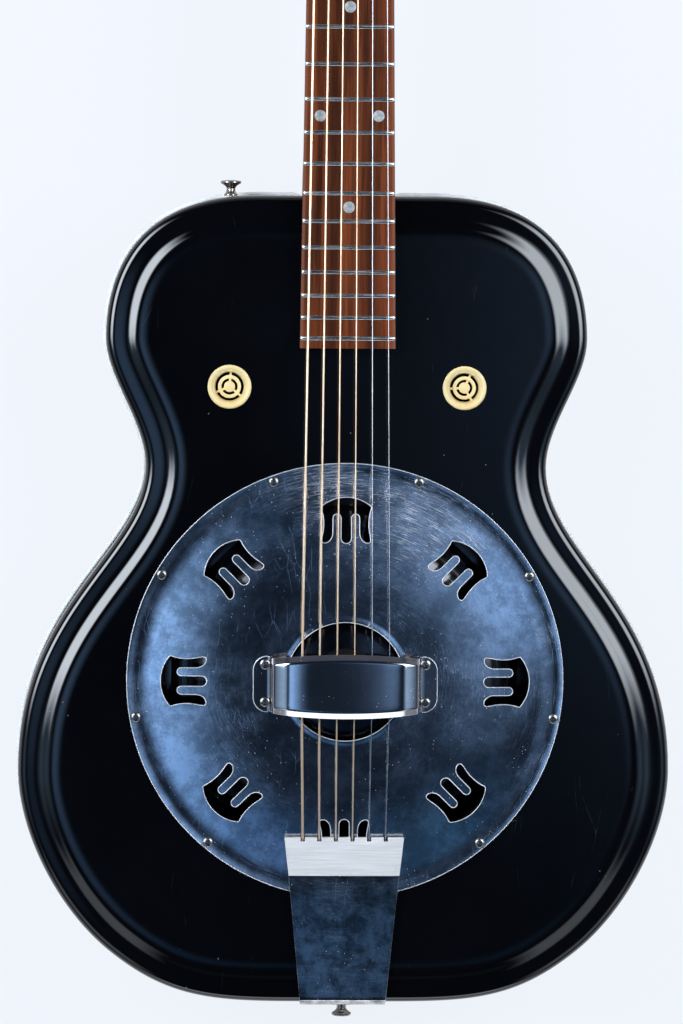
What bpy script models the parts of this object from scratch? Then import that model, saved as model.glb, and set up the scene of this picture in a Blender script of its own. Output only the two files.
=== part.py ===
# Resonator guitar with a moulded two-shell body, lying on its back.
# Metres, +Z out of the front. The bridge saddle stands at y = 0 and the neck runs along +Y.
import math

import bpy
from mathutils import Matrix, Vector

MM = 0.001
GAP = 0.3                      # clearance between pieces that touch, mm

# ---- strings and neck (mm) ----
SCALE = 628.65                 # saddle to nut
FRETS = 20
BOARD_END = 192.3              # body end of the fretboard
HALF_AT_NUT = 22.03
HALF_TAPER = 0.01165           # growth of the half width per mm from the nut
BOARD_BOTTOM = 84.0
BOARD_TOP = 90.0
BOARD_CAMBER = 0.7
FRET_HEIGHT = 1.1
NECK_TOP = BOARD_BOTTOM - GAP
SADDLE_TOP = 97.0
NUT_TOP = 91.6
SPREAD_TAIL = 9.5              # string spacing at the tailpiece
SPREAD_SADDLE = 10.0
SPREAD_NUT = 7.2
STRING_RADII = (0.70, 0.58, 0.46, 0.36, 0.24, 0.20)

# ---- body (mm) ----
SEAM = 41.0                    # height of the seam between the two shells
FRONT = 82.0                   # height of the flat front
WALL = 3.0
TONGUE = 1.2                   # half thickness of the gasket between the shells
BEAD_OUT = 2.4                 # how far the gasket stands proud
BODY_TOP = 278.8
BODY_LOW = -184.9
# One side of the outline, top centre to bottom centre, as cubic curves, each with its steps.
OUTLINE = (
    (2, (0.0, BODY_TOP), (17.0, BODY_TOP), (33.0, BODY_TOP), (50.0, BODY_TOP)),
    (8, (50.0, BODY_TOP), (125.8, BODY_TOP), (137.5, 227.5), (137.5, 197.6)),
    (4, (137.5, 197.6), (137.5, 174.6), (114.6, 149.3), (114.6, 124.6)),
    (7, (114.6, 124.6), (114.6, 74.9), (187.2, 45.9), (187.2, -50.2)),
    (6, (187.2, -50.2), (187.2, -86.7), (164.4, -131.1), (135.3, -155.1)),
    (7, (135.3, -155.1), (95.7, -187.6), (67.7, BODY_LOW), (0.0, BODY_LOW)),
)
# Shell section: distance in from the edge, depth below the flat front.
EDGE_OUTER = ((0.0, 9.4), (0.9, 6.9), (3.2, 5.9), (8.5, 5.0), (18.5, 1.0), (24.5, 0.0))
EDGE_INNER = ((3.0, 11.5), (8.0, 8.3), (23.0, 3.2))

# ---- resonator (mm) ----
WELL_HOLE = 113.5
PLATE_RADIUS = 124.9
PLATE_THICK = 1.2
PLATE_TOP = 86.5
PLATE_FLAT = 56.0              # flat centre of the cover plate
PLATE_DROP = 3.0
PLATE_RIM = 115.0
PLATE_HOLE = 33.9
PLATE_CENTRE = 2.0             # y of the resonator axis
PLATE_SCREWS = 9
SCREW_CIRCLE = 121.3
CONE_RADIUS = 106.0
LEDGE_TOP = 61.5
CONE_TOP = 82.8
BISCUIT_RADIUS = 19.0

# ---- fittings (mm) ----
GROMMET_X = 66.95
GROMMET_Y = 170.0
GROMMET_HOLE = 9.3
STRAP_X = -66.7
FITTING_Z = 58.0
TAIL_SCREW_X = 14.0
TAIL_SCREW_Z = 67.0
BOLT_Z = (58.0, 24.0)

# ---- headstock and tuners (mm) ----
HEAD_TILT = math.radians(8.0)
HEAD_START = 633.0
HEAD_THICK = 14.0
POST_X = 20.0
POST_PITCH = (45.0, 85.0, 125.0)
WORM_OFFSET = 8.6
WORM_DEPTH = -18.2

for old in list(bpy.data.objects):
    bpy.data.objects.remove(old, do_unlink=True)


# ---------------------------------------------------------------- helpers
def material(name, colour, metallic=0.0, roughness=0.4):
    mat = bpy.data.materials.new(name)
    mat.use_nodes = True
    shader = mat.node_tree.nodes["Principled BSDF"]
    shader.inputs["Base Color"].default_value = (*colour, 1.0)
    shader.inputs["Metallic"].default_value = metallic
    shader.inputs["Roughness"].default_value = roughness
    return mat


def outward(verts, faces):
    """The faces, turned over if together they enclose a negative volume."""
    volume = 0.0
    for face in faces:
        first = Vector(verts[face[0]])
        for i in range(1, len(face) - 1):
            volume += first.dot(Vector(verts[face[i]]).cross(Vector(verts[face[i + 1]])))
    return faces if volume >= 0 else [tuple(reversed(f)) for f in faces]


def add_object(name, verts, faces, look=None, smooth=False, place=None):
    """A mesh object from points in mm, with its own material."""
    faces = outward(verts, faces)
    mesh = bpy.data.meshes.new(name)
    mesh.from_pydata([(x * MM, y * MM, z * MM) for x, y, z in verts], [], faces)
    mesh.update()
    ob = bpy.data.objects.new(name, mesh)
    bpy.context.scene.collection.objects.link(ob)
    if look:
        mesh.materials.append(material(name + "_mat", *look))
    if smooth:
        mesh.shade_smooth()
    if place:
        ob.matrix_world = place
    return ob


def loft(rings, closed=False):
    """Points and faces through rings of equal size; open lofts get flat ends."""
    size = len(rings[0])
    verts = [p for ring in rings for p in ring]
    faces = []
    count = len(rings)
    for i in range(count if closed else count - 1):
        a = i * size
        b = ((i + 1) % count) * size
        for j in range(size):
            k = (j + 1) % size
            faces.append((a + j, a + k, b + k, b + j))
    if not closed:
        faces.append(tuple(reversed(range(size))))
        faces.append(tuple((count - 1) * size + j for j in range(size)))
    return verts, faces


def turned(profile, steps=24):
    """Points and faces of a profile of (radius, height) turned about Z, bottom to top."""
    rings = []
    for radius, height in profile:
        ring = []
        for i in range(steps):
            turn = 2 * math.pi * i / steps
            ring.append((radius * math.cos(turn), radius * math.sin(turn), height))
        rings.append(ring)
    return loft(rings)


def turned_ring(profile, steps=48):
    """Points and faces of a closed section turned about Z."""
    rings = []
    for i in range(steps):
        turn = 2 * math.pi * i / steps
        rings.append([(r * math.cos(turn), r * math.sin(turn), h) for r, h in profile])
    return loft(rings, closed=True)


def moved(shape, x=0.0, y=0.0, z=0.0):
    verts, faces = shape
    return [(a + x, b + y, c + z) for a, b, c in verts], faces


def spun(shape, matrix):
    verts, faces = shape
    return [tuple(matrix @ Vector(p)) for p in verts], faces


def joined(shapes):
    verts = []
    faces = []
    for points, polys in shapes:
        start = len(verts)
        verts += points
        faces += [tuple(start + i for i in f) for f in polys]
    return verts, faces


def prism(outline, low, high):
    """An anticlockwise outline drawn up from one height to another."""
    return loft([[(x, y, low) for x, y in outline], [(x, y, high) for x, y in outline]])


def box(x0, x1, y0, y1, z0, z1):
    return prism(((x0, y0), (x1, y0), (x1, y1), (x0, y1)), z0, z1)


def drill_y(x, z, y0, y1, radius, steps=10):
    """A cylinder along Y."""
    shape = turned(((radius, y0), (radius, y1)), steps)
    return moved(spun(shape, Matrix.Rotation(math.radians(-90), 3, "X")), x, 0.0, z)


def tool(name, shape):
    ob = add_object(name, *shape)
    ob.hide_render = True
    ob.display_type = "WIRE"
    return ob


def boolean(ob, cutter, operation="DIFFERENCE"):
    mod = ob.modifiers.new(cutter.name, "BOOLEAN")
    mod.operation = operation
    mod.solver = "EXACT"
    mod.object = cutter


def bezier(a, b, c, d, t):
    s = 1 - t
    return [s ** 3 * a[i] + 3 * s * s * t * b[i] + 3 * s * t * t * c[i] + t ** 3 * d[i]
            for i in (0, 1)]


def body_outline():
    """Points and inward normals round the body, anticlockwise from the top centre."""
    half = []
    for steps, *curve in OUTLINE:
        half += [bezier(*curve, i / steps) for i in range(steps)]
    half.append(list(OUTLINE[-1][-1]))
    points = [(-x, y) for x, y in half] + [(x, y) for x, y in reversed(half[1:-1])]
    normals = []
    for i, point in enumerate(points):
        before = points[i - 1]
        after = points[(i + 1) % len(points)]
        along = Vector((after[0] - before[0], after[1] - before[1])).normalized()
        normals.append((-along.y, along.x))
    return points, normals


EDGE_POINTS, EDGE_NORMALS = body_outline()


def edge_ring(inset, height):
    return [(p[0] + n[0] * inset, p[1] + n[1] * inset, height)
            for p, n in zip(EDGE_POINTS, EDGE_NORMALS)]


def shell_shape(front):
    """One body half: the outside skin up, the inside skin back down."""
    seam = SEAM + TONGUE + GAP
    outside = [(0.0, seam)] + [(d, FRONT - drop) for d, drop in EDGE_OUTER]
    inside = [(d, FRONT - drop) for d, drop in reversed(EDGE_INNER)] + [(WALL, seam)]
    if not front:
        outside = [(d, 2 * SEAM - z) for d, z in outside]
        inside = [(d, 2 * SEAM - z) for d, z in inside]
    size = len(EDGE_POINTS)
    rings = [edge_ring(d, z) for d, z in outside] + [edge_ring(d, z) for d, z in inside]
    verts = [p for ring in rings for p in ring]
    faces = []
    for i in range(len(rings)):
        if i == len(outside) - 1:
            continue
        a = i * size
        b = ((i + 1) % len(rings)) * size
        for j in range(size):
            k = (j + 1) % size
            faces.append((a + j, a + k, b + k, b + j))
    last = (len(outside) - 1) * size
    faces.append(tuple(last + j for j in range(size)))
    faces.append(tuple(last + size + j for j in reversed(range(size))))
    return verts, faces


def half_width(y):
    return HALF_AT_NUT + (SCALE - y) * HALF_TAPER


def on_circle(radius, degrees):
    turn = math.radians(degrees)
    return radius * math.cos(turn), PLATE_CENTRE + radius * math.sin(turn)


# Head frame: x across, y up the head from its start, z out of its face.
HEAD = (Matrix.Translation((0.0, HEAD_START * MM, NECK_TOP * MM))
        @ Matrix.Rotation(-HEAD_TILT, 4, "X"))


def head_point(x, along, out):
    return tuple(c / MM for c in HEAD @ Vector((x * MM, along * MM, out * MM)))


def plate_height(radius):
    """Top of the cover plate: flat centre, falling away to a flat rim."""
    part = min(max((radius - PLATE_FLAT) / (PLATE_RIM - PLATE_FLAT), 0.0), 1.0)
    return PLATE_TOP - PLATE_DROP * part * part


SCREW_ANGLES = [30.0 + 40.0 * i for i in range(PLATE_SCREWS)]
BLACK = ((0.012, 0.012, 0.014), 0.0, 0.12)
CHROME = ((0.75, 0.77, 0.80), 1.0, 0.08)
STEEL = ((0.62, 0.62, 0.63), 1.0, 0.28)
WOOD = ((0.30, 0.13, 0.05), 0.0, 0.35)
BONE = ((0.85, 0.80, 0.68), 0.0, 0.35)

# ---------------------------------------------------------------- body shells
plate_drills = [moved(turned(((1.6, 74.0), (1.6, 90.0)), 8), *on_circle(SCREW_CIRCLE, a))
                for a in SCREW_ANGLES]
front_drills = list(plate_drills)
front_drills.append(moved(turned(((WELL_HOLE, 70.0), (WELL_HOLE, 90.0)), 48), y=PLATE_CENTRE))
for side in (-1, 1):
    hole = turned(((GROMMET_HOLE, 70.0), (GROMMET_HOLE, 90.0)), 16)
    front_drills.append(moved(hole, side * GROMMET_X, GROMMET_Y))
    front_drills.append(drill_y(side * TAIL_SCREW_X, TAIL_SCREW_Z, -196.0, -176.0, 1.5))
front_drills.append(drill_y(STRAP_X, FITTING_Z, 268.0, 292.0, 2.1))
front_drills.append(drill_y(0.0, FITTING_Z, -206.0, -174.0, 2.6))
front_drills.append(drill_y(0.0, BOLT_Z[0], 262.0, 292.0, 3.4))

front_shell = add_object("front_shell", *shell_shape(True), look=BLACK, smooth=True)
boolean(front_shell, tool("front_holes", joined(front_drills)))
back_shell = add_object("back_shell", *shell_shape(False), look=BLACK, smooth=True)
boolean(back_shell, tool("back_hole", drill_y(0.0, BOLT_Z[1], 262.0, 292.0, 3.4)))

# The gasket: a thin tongue between the shells and a proud bead outside them.
gasket_section = ((WALL, -TONGUE), (-GAP, -TONGUE), (-GAP, -2.2), (-BEAD_OUT, -1.3),
                  (-BEAD_OUT, 1.3), (-GAP, 2.2), (-GAP, TONGUE), (WALL, TONGUE))
gasket_rings = []
for inset, rise in gasket_section:
    # The bead is shaved nearly flush where the neck heel stands against the body.
    shaved = BODY_TOP + (0.22 if inset == -BEAD_OUT else 0.05)
    gasket_rings.append([(x, min(y, shaved) if abs(x) < 31.0 and y > 250.0 else y, z)
                         for x, y, z in edge_ring(inset, SEAM + rise)])
edge_gasket = add_object("edge_gasket", *loft(gasket_rings, closed=True),
                         look=((0.9, 0.9, 0.88), 0.0, 0.4))

# ---------------------------------------------------------------- resonator
well_section = ((99.0, LEDGE_TOP - 2.5), (112.0, LEDGE_TOP - 2.5), (112.0, 75.3), (119.0, 75.3),
                (119.0, 78.5), (110.0, 78.5), (110.0, LEDGE_TOP), (99.0, LEDGE_TOP))
soundwell = add_object("soundwell", *moved(turned_ring(well_section, 36), y=PLATE_CENTRE),
                       look=((0.45, 0.30, 0.16), 0.0, 0.6))

cone_low = LEDGE_TOP + GAP
cone_section = ((1.9, CONE_TOP - 0.9), (28.0, CONE_TOP - 0.9), (100.0, cone_low),
                (CONE_RADIUS, cone_low), (CONE_RADIUS, cone_low + 1.0), (100.4, cone_low + 1.0),
                (28.0, CONE_TOP), (1.9, CONE_TOP))
cone = add_object("cone", *moved(turned_ring(cone_section, 36), y=PLATE_CENTRE),
                  look=((0.80, 0.80, 0.79), 1.0, 0.32), smooth=True)

biscuit_low = CONE_TOP + GAP
biscuit = add_object("biscuit", *moved(turned(((BISCUIT_RADIUS, biscuit_low),
                                               (BISCUIT_RADIUS, 91.2),
                                               (BISCUIT_RADIUS - 0.8, 92.0)), 24), y=PLATE_CENTRE),
                     look=((0.55, 0.36, 0.18), 0.0, 0.55))
slot = box(-40.0, 40.0, -1.9, 1.9, 89.0, 99.0)
pilot = moved(turned(((1.8, 70.0), (1.8, 88.0)), 12), y=PLATE_CENTRE)
boolean(biscuit, tool("biscuit_cuts", joined((slot, pilot))))
saddle_top = [(30.0, 95.6), (18.0, SADDLE_TOP - 0.2), (0.0, SADDLE_TOP),
              (-18.0, SADDLE_TOP - 0.2), (-30.0, 95.6)]
saddle_side = [(-29.0, 92.3), (-18.6, 89.3), (18.6, 89.3), (29.0, 92.3)] + saddle_top
saddle = add_object("saddle", *loft([[(x, 1.5, z) for x, z in saddle_side],
                                     [(x, -1.5, z) for x, z in saddle_side]]),
                    look=((0.62, 0.45, 0.25), 0.0, 0.5))
screw = turned(((3.0, 80.2), (3.4, 81.6), (1.4, 81.6), (1.4, 87.5)), 16)
biscuit_screw = add_object("biscuit_screw", *moved(screw, y=PLATE_CENTRE), look=STEEL)


# ---------------------------------------------------------------- cover plate
def cut_out():
    """One window of the cover plate, pointing along +X: three slots joined by an outer arc."""
    side = [(79.4, 11.8), (81.6, 13.9), (90.5, 12.8), (99.4, 14.5)]
    arc = [(103.9, 8.2), (105.5, 0.0)]
    inner = [(80.6, 2.7)]
    tongue = [(94.4, 3.0), (95.9, 5.3), (94.4, 7.6)]
    arm = [(85.2, 7.75), (81.4, 9.0)]
    upper = [(79.1, 0.0)] + inner + tongue + arm + side + arc
    lower = [(x, -y) for x, y in reversed(upper[1:-1])]
    return list(reversed(lower + upper))


def plate_section():
    radii = [PLATE_HOLE, PLATE_FLAT, 86.0, PLATE_RIM]
    top = [(r, plate_height(r)) for r in radii]
    low = [(r, plate_height(r) - PLATE_THICK) for r in radii]
    rim_top = plate_height(PLATE_RIM)
    rim = [(PLATE_RADIUS, rim_top - PLATE_THICK), (PLATE_RADIUS, rim_top)]
    return low + rim + list(reversed(top))


coverplate = add_object("coverplate", *moved(turned_ring(plate_section(), 48), y=PLATE_CENTRE),
                        look=CHROME, smooth=True)
window = prism(cut_out(), 70.0, 100.0)
windows = [moved(spun(window, Matrix.Rotation(math.radians(45 * i), 3, "Z")),
                 y=PLATE_CENTRE) for i in range(8)]
rivet_spots = [(sx * 45.9, PLATE_CENTRE + sy * 10.3) for sx in (-1, 1) for sy in (-1, 1)]
rivet_drills = [moved(turned(((1.5, 70.0), (1.5, 100.0)), 8), x, y) for x, y in rivet_spots]
boolean(coverplate, tool("plate_windows", joined(windows)))
boolean(coverplate, tool("plate_drills", joined(plate_drills + rivet_drills)))

rim_top = plate_height(PLATE_RIM)
screw_head = rim_top + GAP
for i, angle in enumerate(SCREW_ANGLES):
    screw = turned(((1.3, 75.5), (1.3, screw_head), (2.8, screw_head), (2.8, screw_head + 0.5),
                    (1.7, screw_head + 1.5)), 8)
    add_object("plate_screw_%d" % (i + 1), *moved(screw, *on_circle(SCREW_CIRCLE, angle)),
               look=STEEL)

# ---------------------------------------------------------------- hand rest
# Stations along x: position, height of the mid surface, half width, roll of the long edges.
REST_FOOT = PLATE_TOP + GAP + 0.6
REST_STATIONS = ((52.5, 0.0, 7.8, 0.0), (50.6, 0.0, 12.6, 0.0), (46.5, 0.0, 15.6, 0.0),
                 (42.6, 0.0, 15.9, 0.0), (41.7, 1.6, 15.6, 0.3), (41.2, 11.0, 15.4, 1.2),
                 (39.6, 14.6, 15.5, 2.5), (36.0, 15.8, 15.8, 3.0), (19.0, 16.3, 17.7, 3.2),
                 (0.0, 16.5, 18.4, 3.2))
stations = list(REST_STATIONS) + [(-x, h, w, e) for x, h, w, e in reversed(REST_STATIONS[:-1])]
rest_verts = []
for x, height, half, roll in stations:
    for part, drop in ((-1.0, 1.0), (-0.94, 0.35), (-0.8, 0.0), (0.8, 0.0), (0.94, 0.35),
                       (1.0, 1.0)):
        rest_verts.append((x, PLATE_CENTRE + part * half, REST_FOOT + height - drop * roll))
rest_faces = []
for i in range(len(stations) - 1):
    for j in range(5):
        a = i * 6 + j
        rest_faces.append((a, a + 1, a + 7, a + 6))
hand_rest = add_object("hand_rest", rest_verts, rest_faces, look=CHROME, smooth=True)
thicken = hand_rest.modifiers.new("sheet", "SOLIDIFY")
thicken.thickness = 1.2 * MM
thicken.offset = 0.0
thicken.use_even_offset = True
boolean(hand_rest, tool("rest_drills", joined(rivet_drills)))
rivet_base = REST_FOOT + 0.6 + GAP
for i, (x, y) in enumerate(rivet_spots):
    rivet = turned(((1.2, 84.0), (1.2, rivet_base), (2.9, rivet_base), (2.9, rivet_base + 0.5),
                    (1.8, rivet_base + 1.3)), 10)
    add_object("rest_rivet_%d" % (i + 1), *moved(rivet, x, y), look=STEEL)

# ---------------------------------------------------------------- tailpiece
# Upper surface of the tail plate: y, z, half width.
TAIL_LINE = ((-87.6, 87.5, 33.0), (-109.0, 87.5, 31.8), (-125.0, 87.3, 30.2), (-180.4, 83.4, 24.9),
             (-183.6, 82.2, 24.8), (-185.6, 80.0, 24.7), (-186.4, 77.0, 24.6), (-186.4, 45.5, 22.2))
TAIL_THICK = 1.2
tail_rings = []
for i, (y, z, half) in enumerate(TAIL_LINE):
    before = TAIL_LINE[max(i - 1, 0)]
    after = TAIL_LINE[min(i + 1, len(TAIL_LINE) - 1)]
    along = Vector((after[0] - before[0], after[1] - before[1])).normalized()
    low_y = y - along.y * TAIL_THICK
    low_z = z + along.x * TAIL_THICK
    tail_rings.append([(-half, y, z), (half, y, z), (half, low_y, low_z), (-half, low_y, low_z)])
tail_plate = add_object("tail_plate", *loft(tail_rings), look=CHROME)
tail_holes = [drill_y(side * TAIL_SCREW_X, TAIL_SCREW_Z, -196.0, -176.0, 1.5) for side in (-1, 1)]
tail_holes.append(drill_y(0.0, FITTING_Z, -206.0, -174.0, 2.6))
boolean(tail_plate, tool("tail_drills", joined(tail_holes)))

clamp_low = 87.5 + GAP
clamp = prism(((-34.2, -87.0), (-31.7, -109.0), (31.7, -109.0), (34.2, -87.0)), clamp_low, 91.3)
tail_clamp = add_object("tail_clamp", *clamp, look=((0.80, 0.81, 0.83), 1.0, 0.3))
hollow = prism(((-32.6, -88.6), (-30.4, -107.5), (30.4, -107.5), (32.6, -88.6)), 80.0, 90.1)
notches = [box(x - 1.2, x + 1.2, -89.4, -80.0, 80.0, 95.0)
           for x in [(i - 2.5) * SPREAD_TAIL for i in range(6)]]
boolean(tail_clamp, tool("clamp_hollow", hollow))
boolean(tail_clamp, tool("clamp_notches", joined(notches)))

along_y = Matrix.Rotation(math.radians(-90), 3, "X")
down_y = Matrix.Rotation(math.radians(90), 3, "X")
tail_face = 186.4 + GAP
for i, side in enumerate((-1, 1)):
    screw = turned(((1.2, 178.0), (1.2, tail_face), (2.15, tail_face), (2.15, tail_face + 0.4),
                    (1.2, tail_face + 1.1)), 14)
    add_object("tail_screw_%d" % (i + 1),
               *moved(spun(screw, down_y), side * TAIL_SCREW_X, 0.0, TAIL_SCREW_Z), look=STEEL)


def button(base, flange, neck, head, height, shank):
    """A strap button standing on a height of zero, shank downwards."""
    return turned(((shank, -9.0), (shank, 0.0), (base, 0.0), (base, 1.2), (neck, 2.6),
                   (neck, height - 2.6), (head, height - 1.8), (head, height - 0.6),
                   (flange, height)), 12)


pin = moved(button(4.6, 4.2, 2.5, 5.65, 9.2, 2.2), z=tail_face)
end_pin = add_object("end_pin", *moved(spun(pin, down_y), 0.0, 0.0, FITTING_Z), look=STEEL,
                     smooth=True)
strap = moved(button(4.2, 4.6, 2.2, 5.95, 9.0, 1.8), z=BODY_TOP - 0.15)
strap_button = add_object("strap_button", *moved(spun(strap, along_y), STRAP_X, 0.0, FITTING_Z),
                          look=STEEL, smooth=True)

# ---------------------------------------------------------------- sound hole screens
grommet_top = FRONT + GAP
grommet_section = ((8.0, 76.5), (9.0, 76.5), (9.0, grommet_top), (12.5, grommet_top),
                   (12.5, grommet_top + 0.8), (11.7, grommet_top + 1.6), (10.6, grommet_top + 1.4),
                   (8.0, grommet_top - 1.4))
screen = [turned_ring(((4.6, 78.4), (6.5, 78.4), (6.5, 80.0), (4.6, 80.0)), 12),
          turned(((3.1, 78.4), (3.1, 80.0)), 12)]
for i in range(3):
    spoke = box(2.6, 8.4, -0.7, 0.7, 78.6, 79.7)
    screen.append(spun(spoke, Matrix.Rotation(math.radians(2.5 + 118.0 * i), 3, "Z")))
for name, side, first in (("grommet_left", -1, 82.5), ("grommet_right", 1, 62.5)):
    x = side * GROMMET_X
    turn = Matrix.Rotation(math.radians(first), 3, "Z")
    rim = spun(turned_ring(grommet_section, 16), turn)
    grommet = add_object(name, *moved(rim, x, GROMMET_Y),
                         look=((0.83, 0.74, 0.42), 0.0, 0.4), smooth=True)
    for i, part in enumerate(screen):
        boolean(grommet, tool("%s_%d" % (name, i), moved(spun(part, turn), x, GROMMET_Y)),
                "UNION")

# ---------------------------------------------------------------- neck and fretboard
def neck_ring(y, half, depth, square):
    """A flat-topped section; square 0 is a half round, 1 a rounded block."""
    ring = [(half, y, NECK_TOP), (-half, y, NECK_TOP)]
    steps = 8
    for i in range(1, steps):
        turn = math.pi * i / steps
        power = 1.0 - 0.55 * square
        cos = math.copysign(abs(math.cos(turn)) ** power, math.cos(turn))
        sin = math.sin(turn) ** power
        ring.append((-half * cos, y, NECK_TOP - 1.5 - (depth - 1.5) * sin))
    return ring


heel_start = BODY_TOP + GAP + 0.1
NECK_LINE = ((heel_start, 70.0, 0.9), (heel_start + 10.0, 68.5, 0.85),
             (heel_start + 19.0, 56.0, 0.6), (heel_start + 27.0, 38.0, 0.3),
             (heel_start + 37.0, 27.0, 0.1), (heel_start + 52.0, 23.0, 0.0),
             (460.0, 21.5, 0.0), (600.0, 19.5, 0.0), (622.0, 19.5, 0.1),
             (636.0, 18.0, 0.4))
neck_rings = [neck_ring(y, half_width(y) - (0.0 if y < 622.0 else -0.4 * (y - 622.0)), d, s)
              for y, d, s in NECK_LINE]
neck = add_object("neck", *loft(neck_rings), look=WOOD, smooth=True)

HEAD_HALF = ((0.0, 25.0), (14.0, 27.0), (34.0, 34.0), (60.0, 36.0), (150.0, 38.0), (163.0, 37.5),
             (170.0, 33.0), (172.0, 24.0), (170.0, 8.0))
head_line = [(w, a) for a, w in HEAD_HALF] + [(-w, a) for a, w in reversed(HEAD_HALF)]
head_shape = prism(head_line, -HEAD_THICK, 0.0)
head_tool = tool("neck_head", head_shape)
head_tool.matrix_world = HEAD
boolean(neck, head_tool, "UNION")
tongue = prism(((-half_width(BOARD_END + 2), BOARD_END + 2), (half_width(BOARD_END + 2),
                BOARD_END + 2), (half_width(300.0) - 0.2, 300.0),
                (0.2 - half_width(300.0), 300.0)), FRONT + GAP, NECK_TOP - 0.05)
boolean(neck, tool("neck_tongue", tongue), "UNION")
post_drills = [moved(turned(((3.5, -20.0), (3.5, 6.0)), 10), side * POST_X, a)
               for side in (-1, 1) for a in POST_PITCH]
post_tool = tool("neck_post_holes", joined(post_drills))
post_tool.matrix_world = HEAD
boolean(neck, post_tool)
boolean(neck, tool("neck_bolt_holes",
                   joined([drill_y(0.0, z, 262.0, 300.0, 3.4) for z in BOLT_Z])))

neck_block = add_object("neck_block", *box(-34.0, 34.0, 246.0, 275.2, 12.5, 69.5),
                        look=((0.55, 0.40, 0.22), 0.0, 0.6))
boolean(neck_block, tool("block_holes",
                         joined([drill_y(0.0, z, 230.0, 292.0, 3.4) for z in BOLT_Z])))
for name, z in zip(("neck_bolt_upper", "neck_bolt_lower"), BOLT_Z):
    bolt = turned(((6.0, 240.6), (6.5, 241.2), (6.5, 245.7), (3.0, 245.7), (3.0, 298.0)), 16)
    add_object(name, *moved(spun(bolt, along_y), 0.0, 0.0, z), look=STEEL)


def board_ring(y, rise):
    half = half_width(y)
    low = BOARD_TOP - BOARD_CAMBER
    return [(-half, y, BOARD_BOTTOM), (-half, y, low + rise), (-half * 0.4, y, BOARD_TOP + rise),
            (half * 0.4, y, BOARD_TOP + rise), (half, y, low + rise), (half, y, BOARD_BOTTOM)]


board_rings = [board_ring(SCALE - GAP, 0.0)]
for fret in range(1, FRETS + 1):
    y = SCALE * 2 ** (-fret / 12)
    for offset, rise in ((1.3, 0.0), (0.7, FRET_HEIGHT), (-0.7, FRET_HEIGHT), (-1.3, 0.0)):
        board_rings.append(board_ring(y + offset, rise))
board_rings.append(board_ring(BOARD_END, 0.0))
fretboard = add_object("fretboard", *loft(board_rings), look=((0.16, 0.07, 0.04), 0.0, 0.45))

nut_ring = [(SCALE, BOARD_BOTTOM), (SCALE + 4.5, BOARD_BOTTOM), (SCALE + 4.5, NUT_TOP - 1.2),
            (SCALE, NUT_TOP)]
nut_half = HALF_AT_NUT
nut = add_object("nut", *loft([[(-nut_half, y, z) for y, z in nut_ring],
                               [(nut_half, y, z) for y, z in nut_ring]]), look=BONE)

cover_line = ((-10.0, 9.0), (10.0, 9.0), (11.5, 11.0), (8.0, 24.0), (3.5, 34.0), (0.0, 36.0),
              (-3.5, 34.0), (-8.0, 24.0), (-11.5, 11.0))
truss_cover = add_object("truss_cover", *prism(cover_line, GAP, 1.8),
                         look=((0.02, 0.02, 0.02), 0.0, 0.25), place=HEAD)

# ---------------------------------------------------------------- tuners
PLATE_LOW = -HEAD_THICK - GAP - 1.2
for name, side in (("tuner_plate_left", -1), ("tuner_plate_right", 1)):
    strip = prism(((side * POST_X - 8.5, 30.0), (side * POST_X + 8.5, 30.0),
                   (side * POST_X + 8.5, 150.0), (side * POST_X - 8.5, 150.0)),
                  PLATE_LOW, -HEAD_THICK - GAP)
    plate = add_object(name, *strip, look=STEEL, place=HEAD)
    lugs = []
    holes = []
    for along in POST_PITCH:
        worm = along + WORM_OFFSET
        for x in (side * POST_X - 7.6, side * POST_X + 7.6):
            lugs.append(box(x - 0.8, x + 0.8, worm - 3.2, worm + 3.2, WORM_DEPTH - 3.0,
                            PLATE_LOW + 0.4))
        bore = turned(((1.9, -12.0), (1.9, 12.0)), 8)
        bore = spun(bore, Matrix.Rotation(math.radians(90), 3, "Y"))
        holes.append(moved(bore, side * POST_X, worm, WORM_DEPTH))
        holes.append(moved(turned(((3.5, -20.0), (3.5, 6.0)), 10), side * POST_X, along))
    lug_tool = tool(name + "_lugs", joined(lugs))
    lug_tool.matrix_world = HEAD
    boolean(plate, lug_tool, "UNION")
    hole_tool = tool(name + "_holes", joined(holes))
    hole_tool.matrix_world = HEAD
    boolean(plate, hole_tool)

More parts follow.
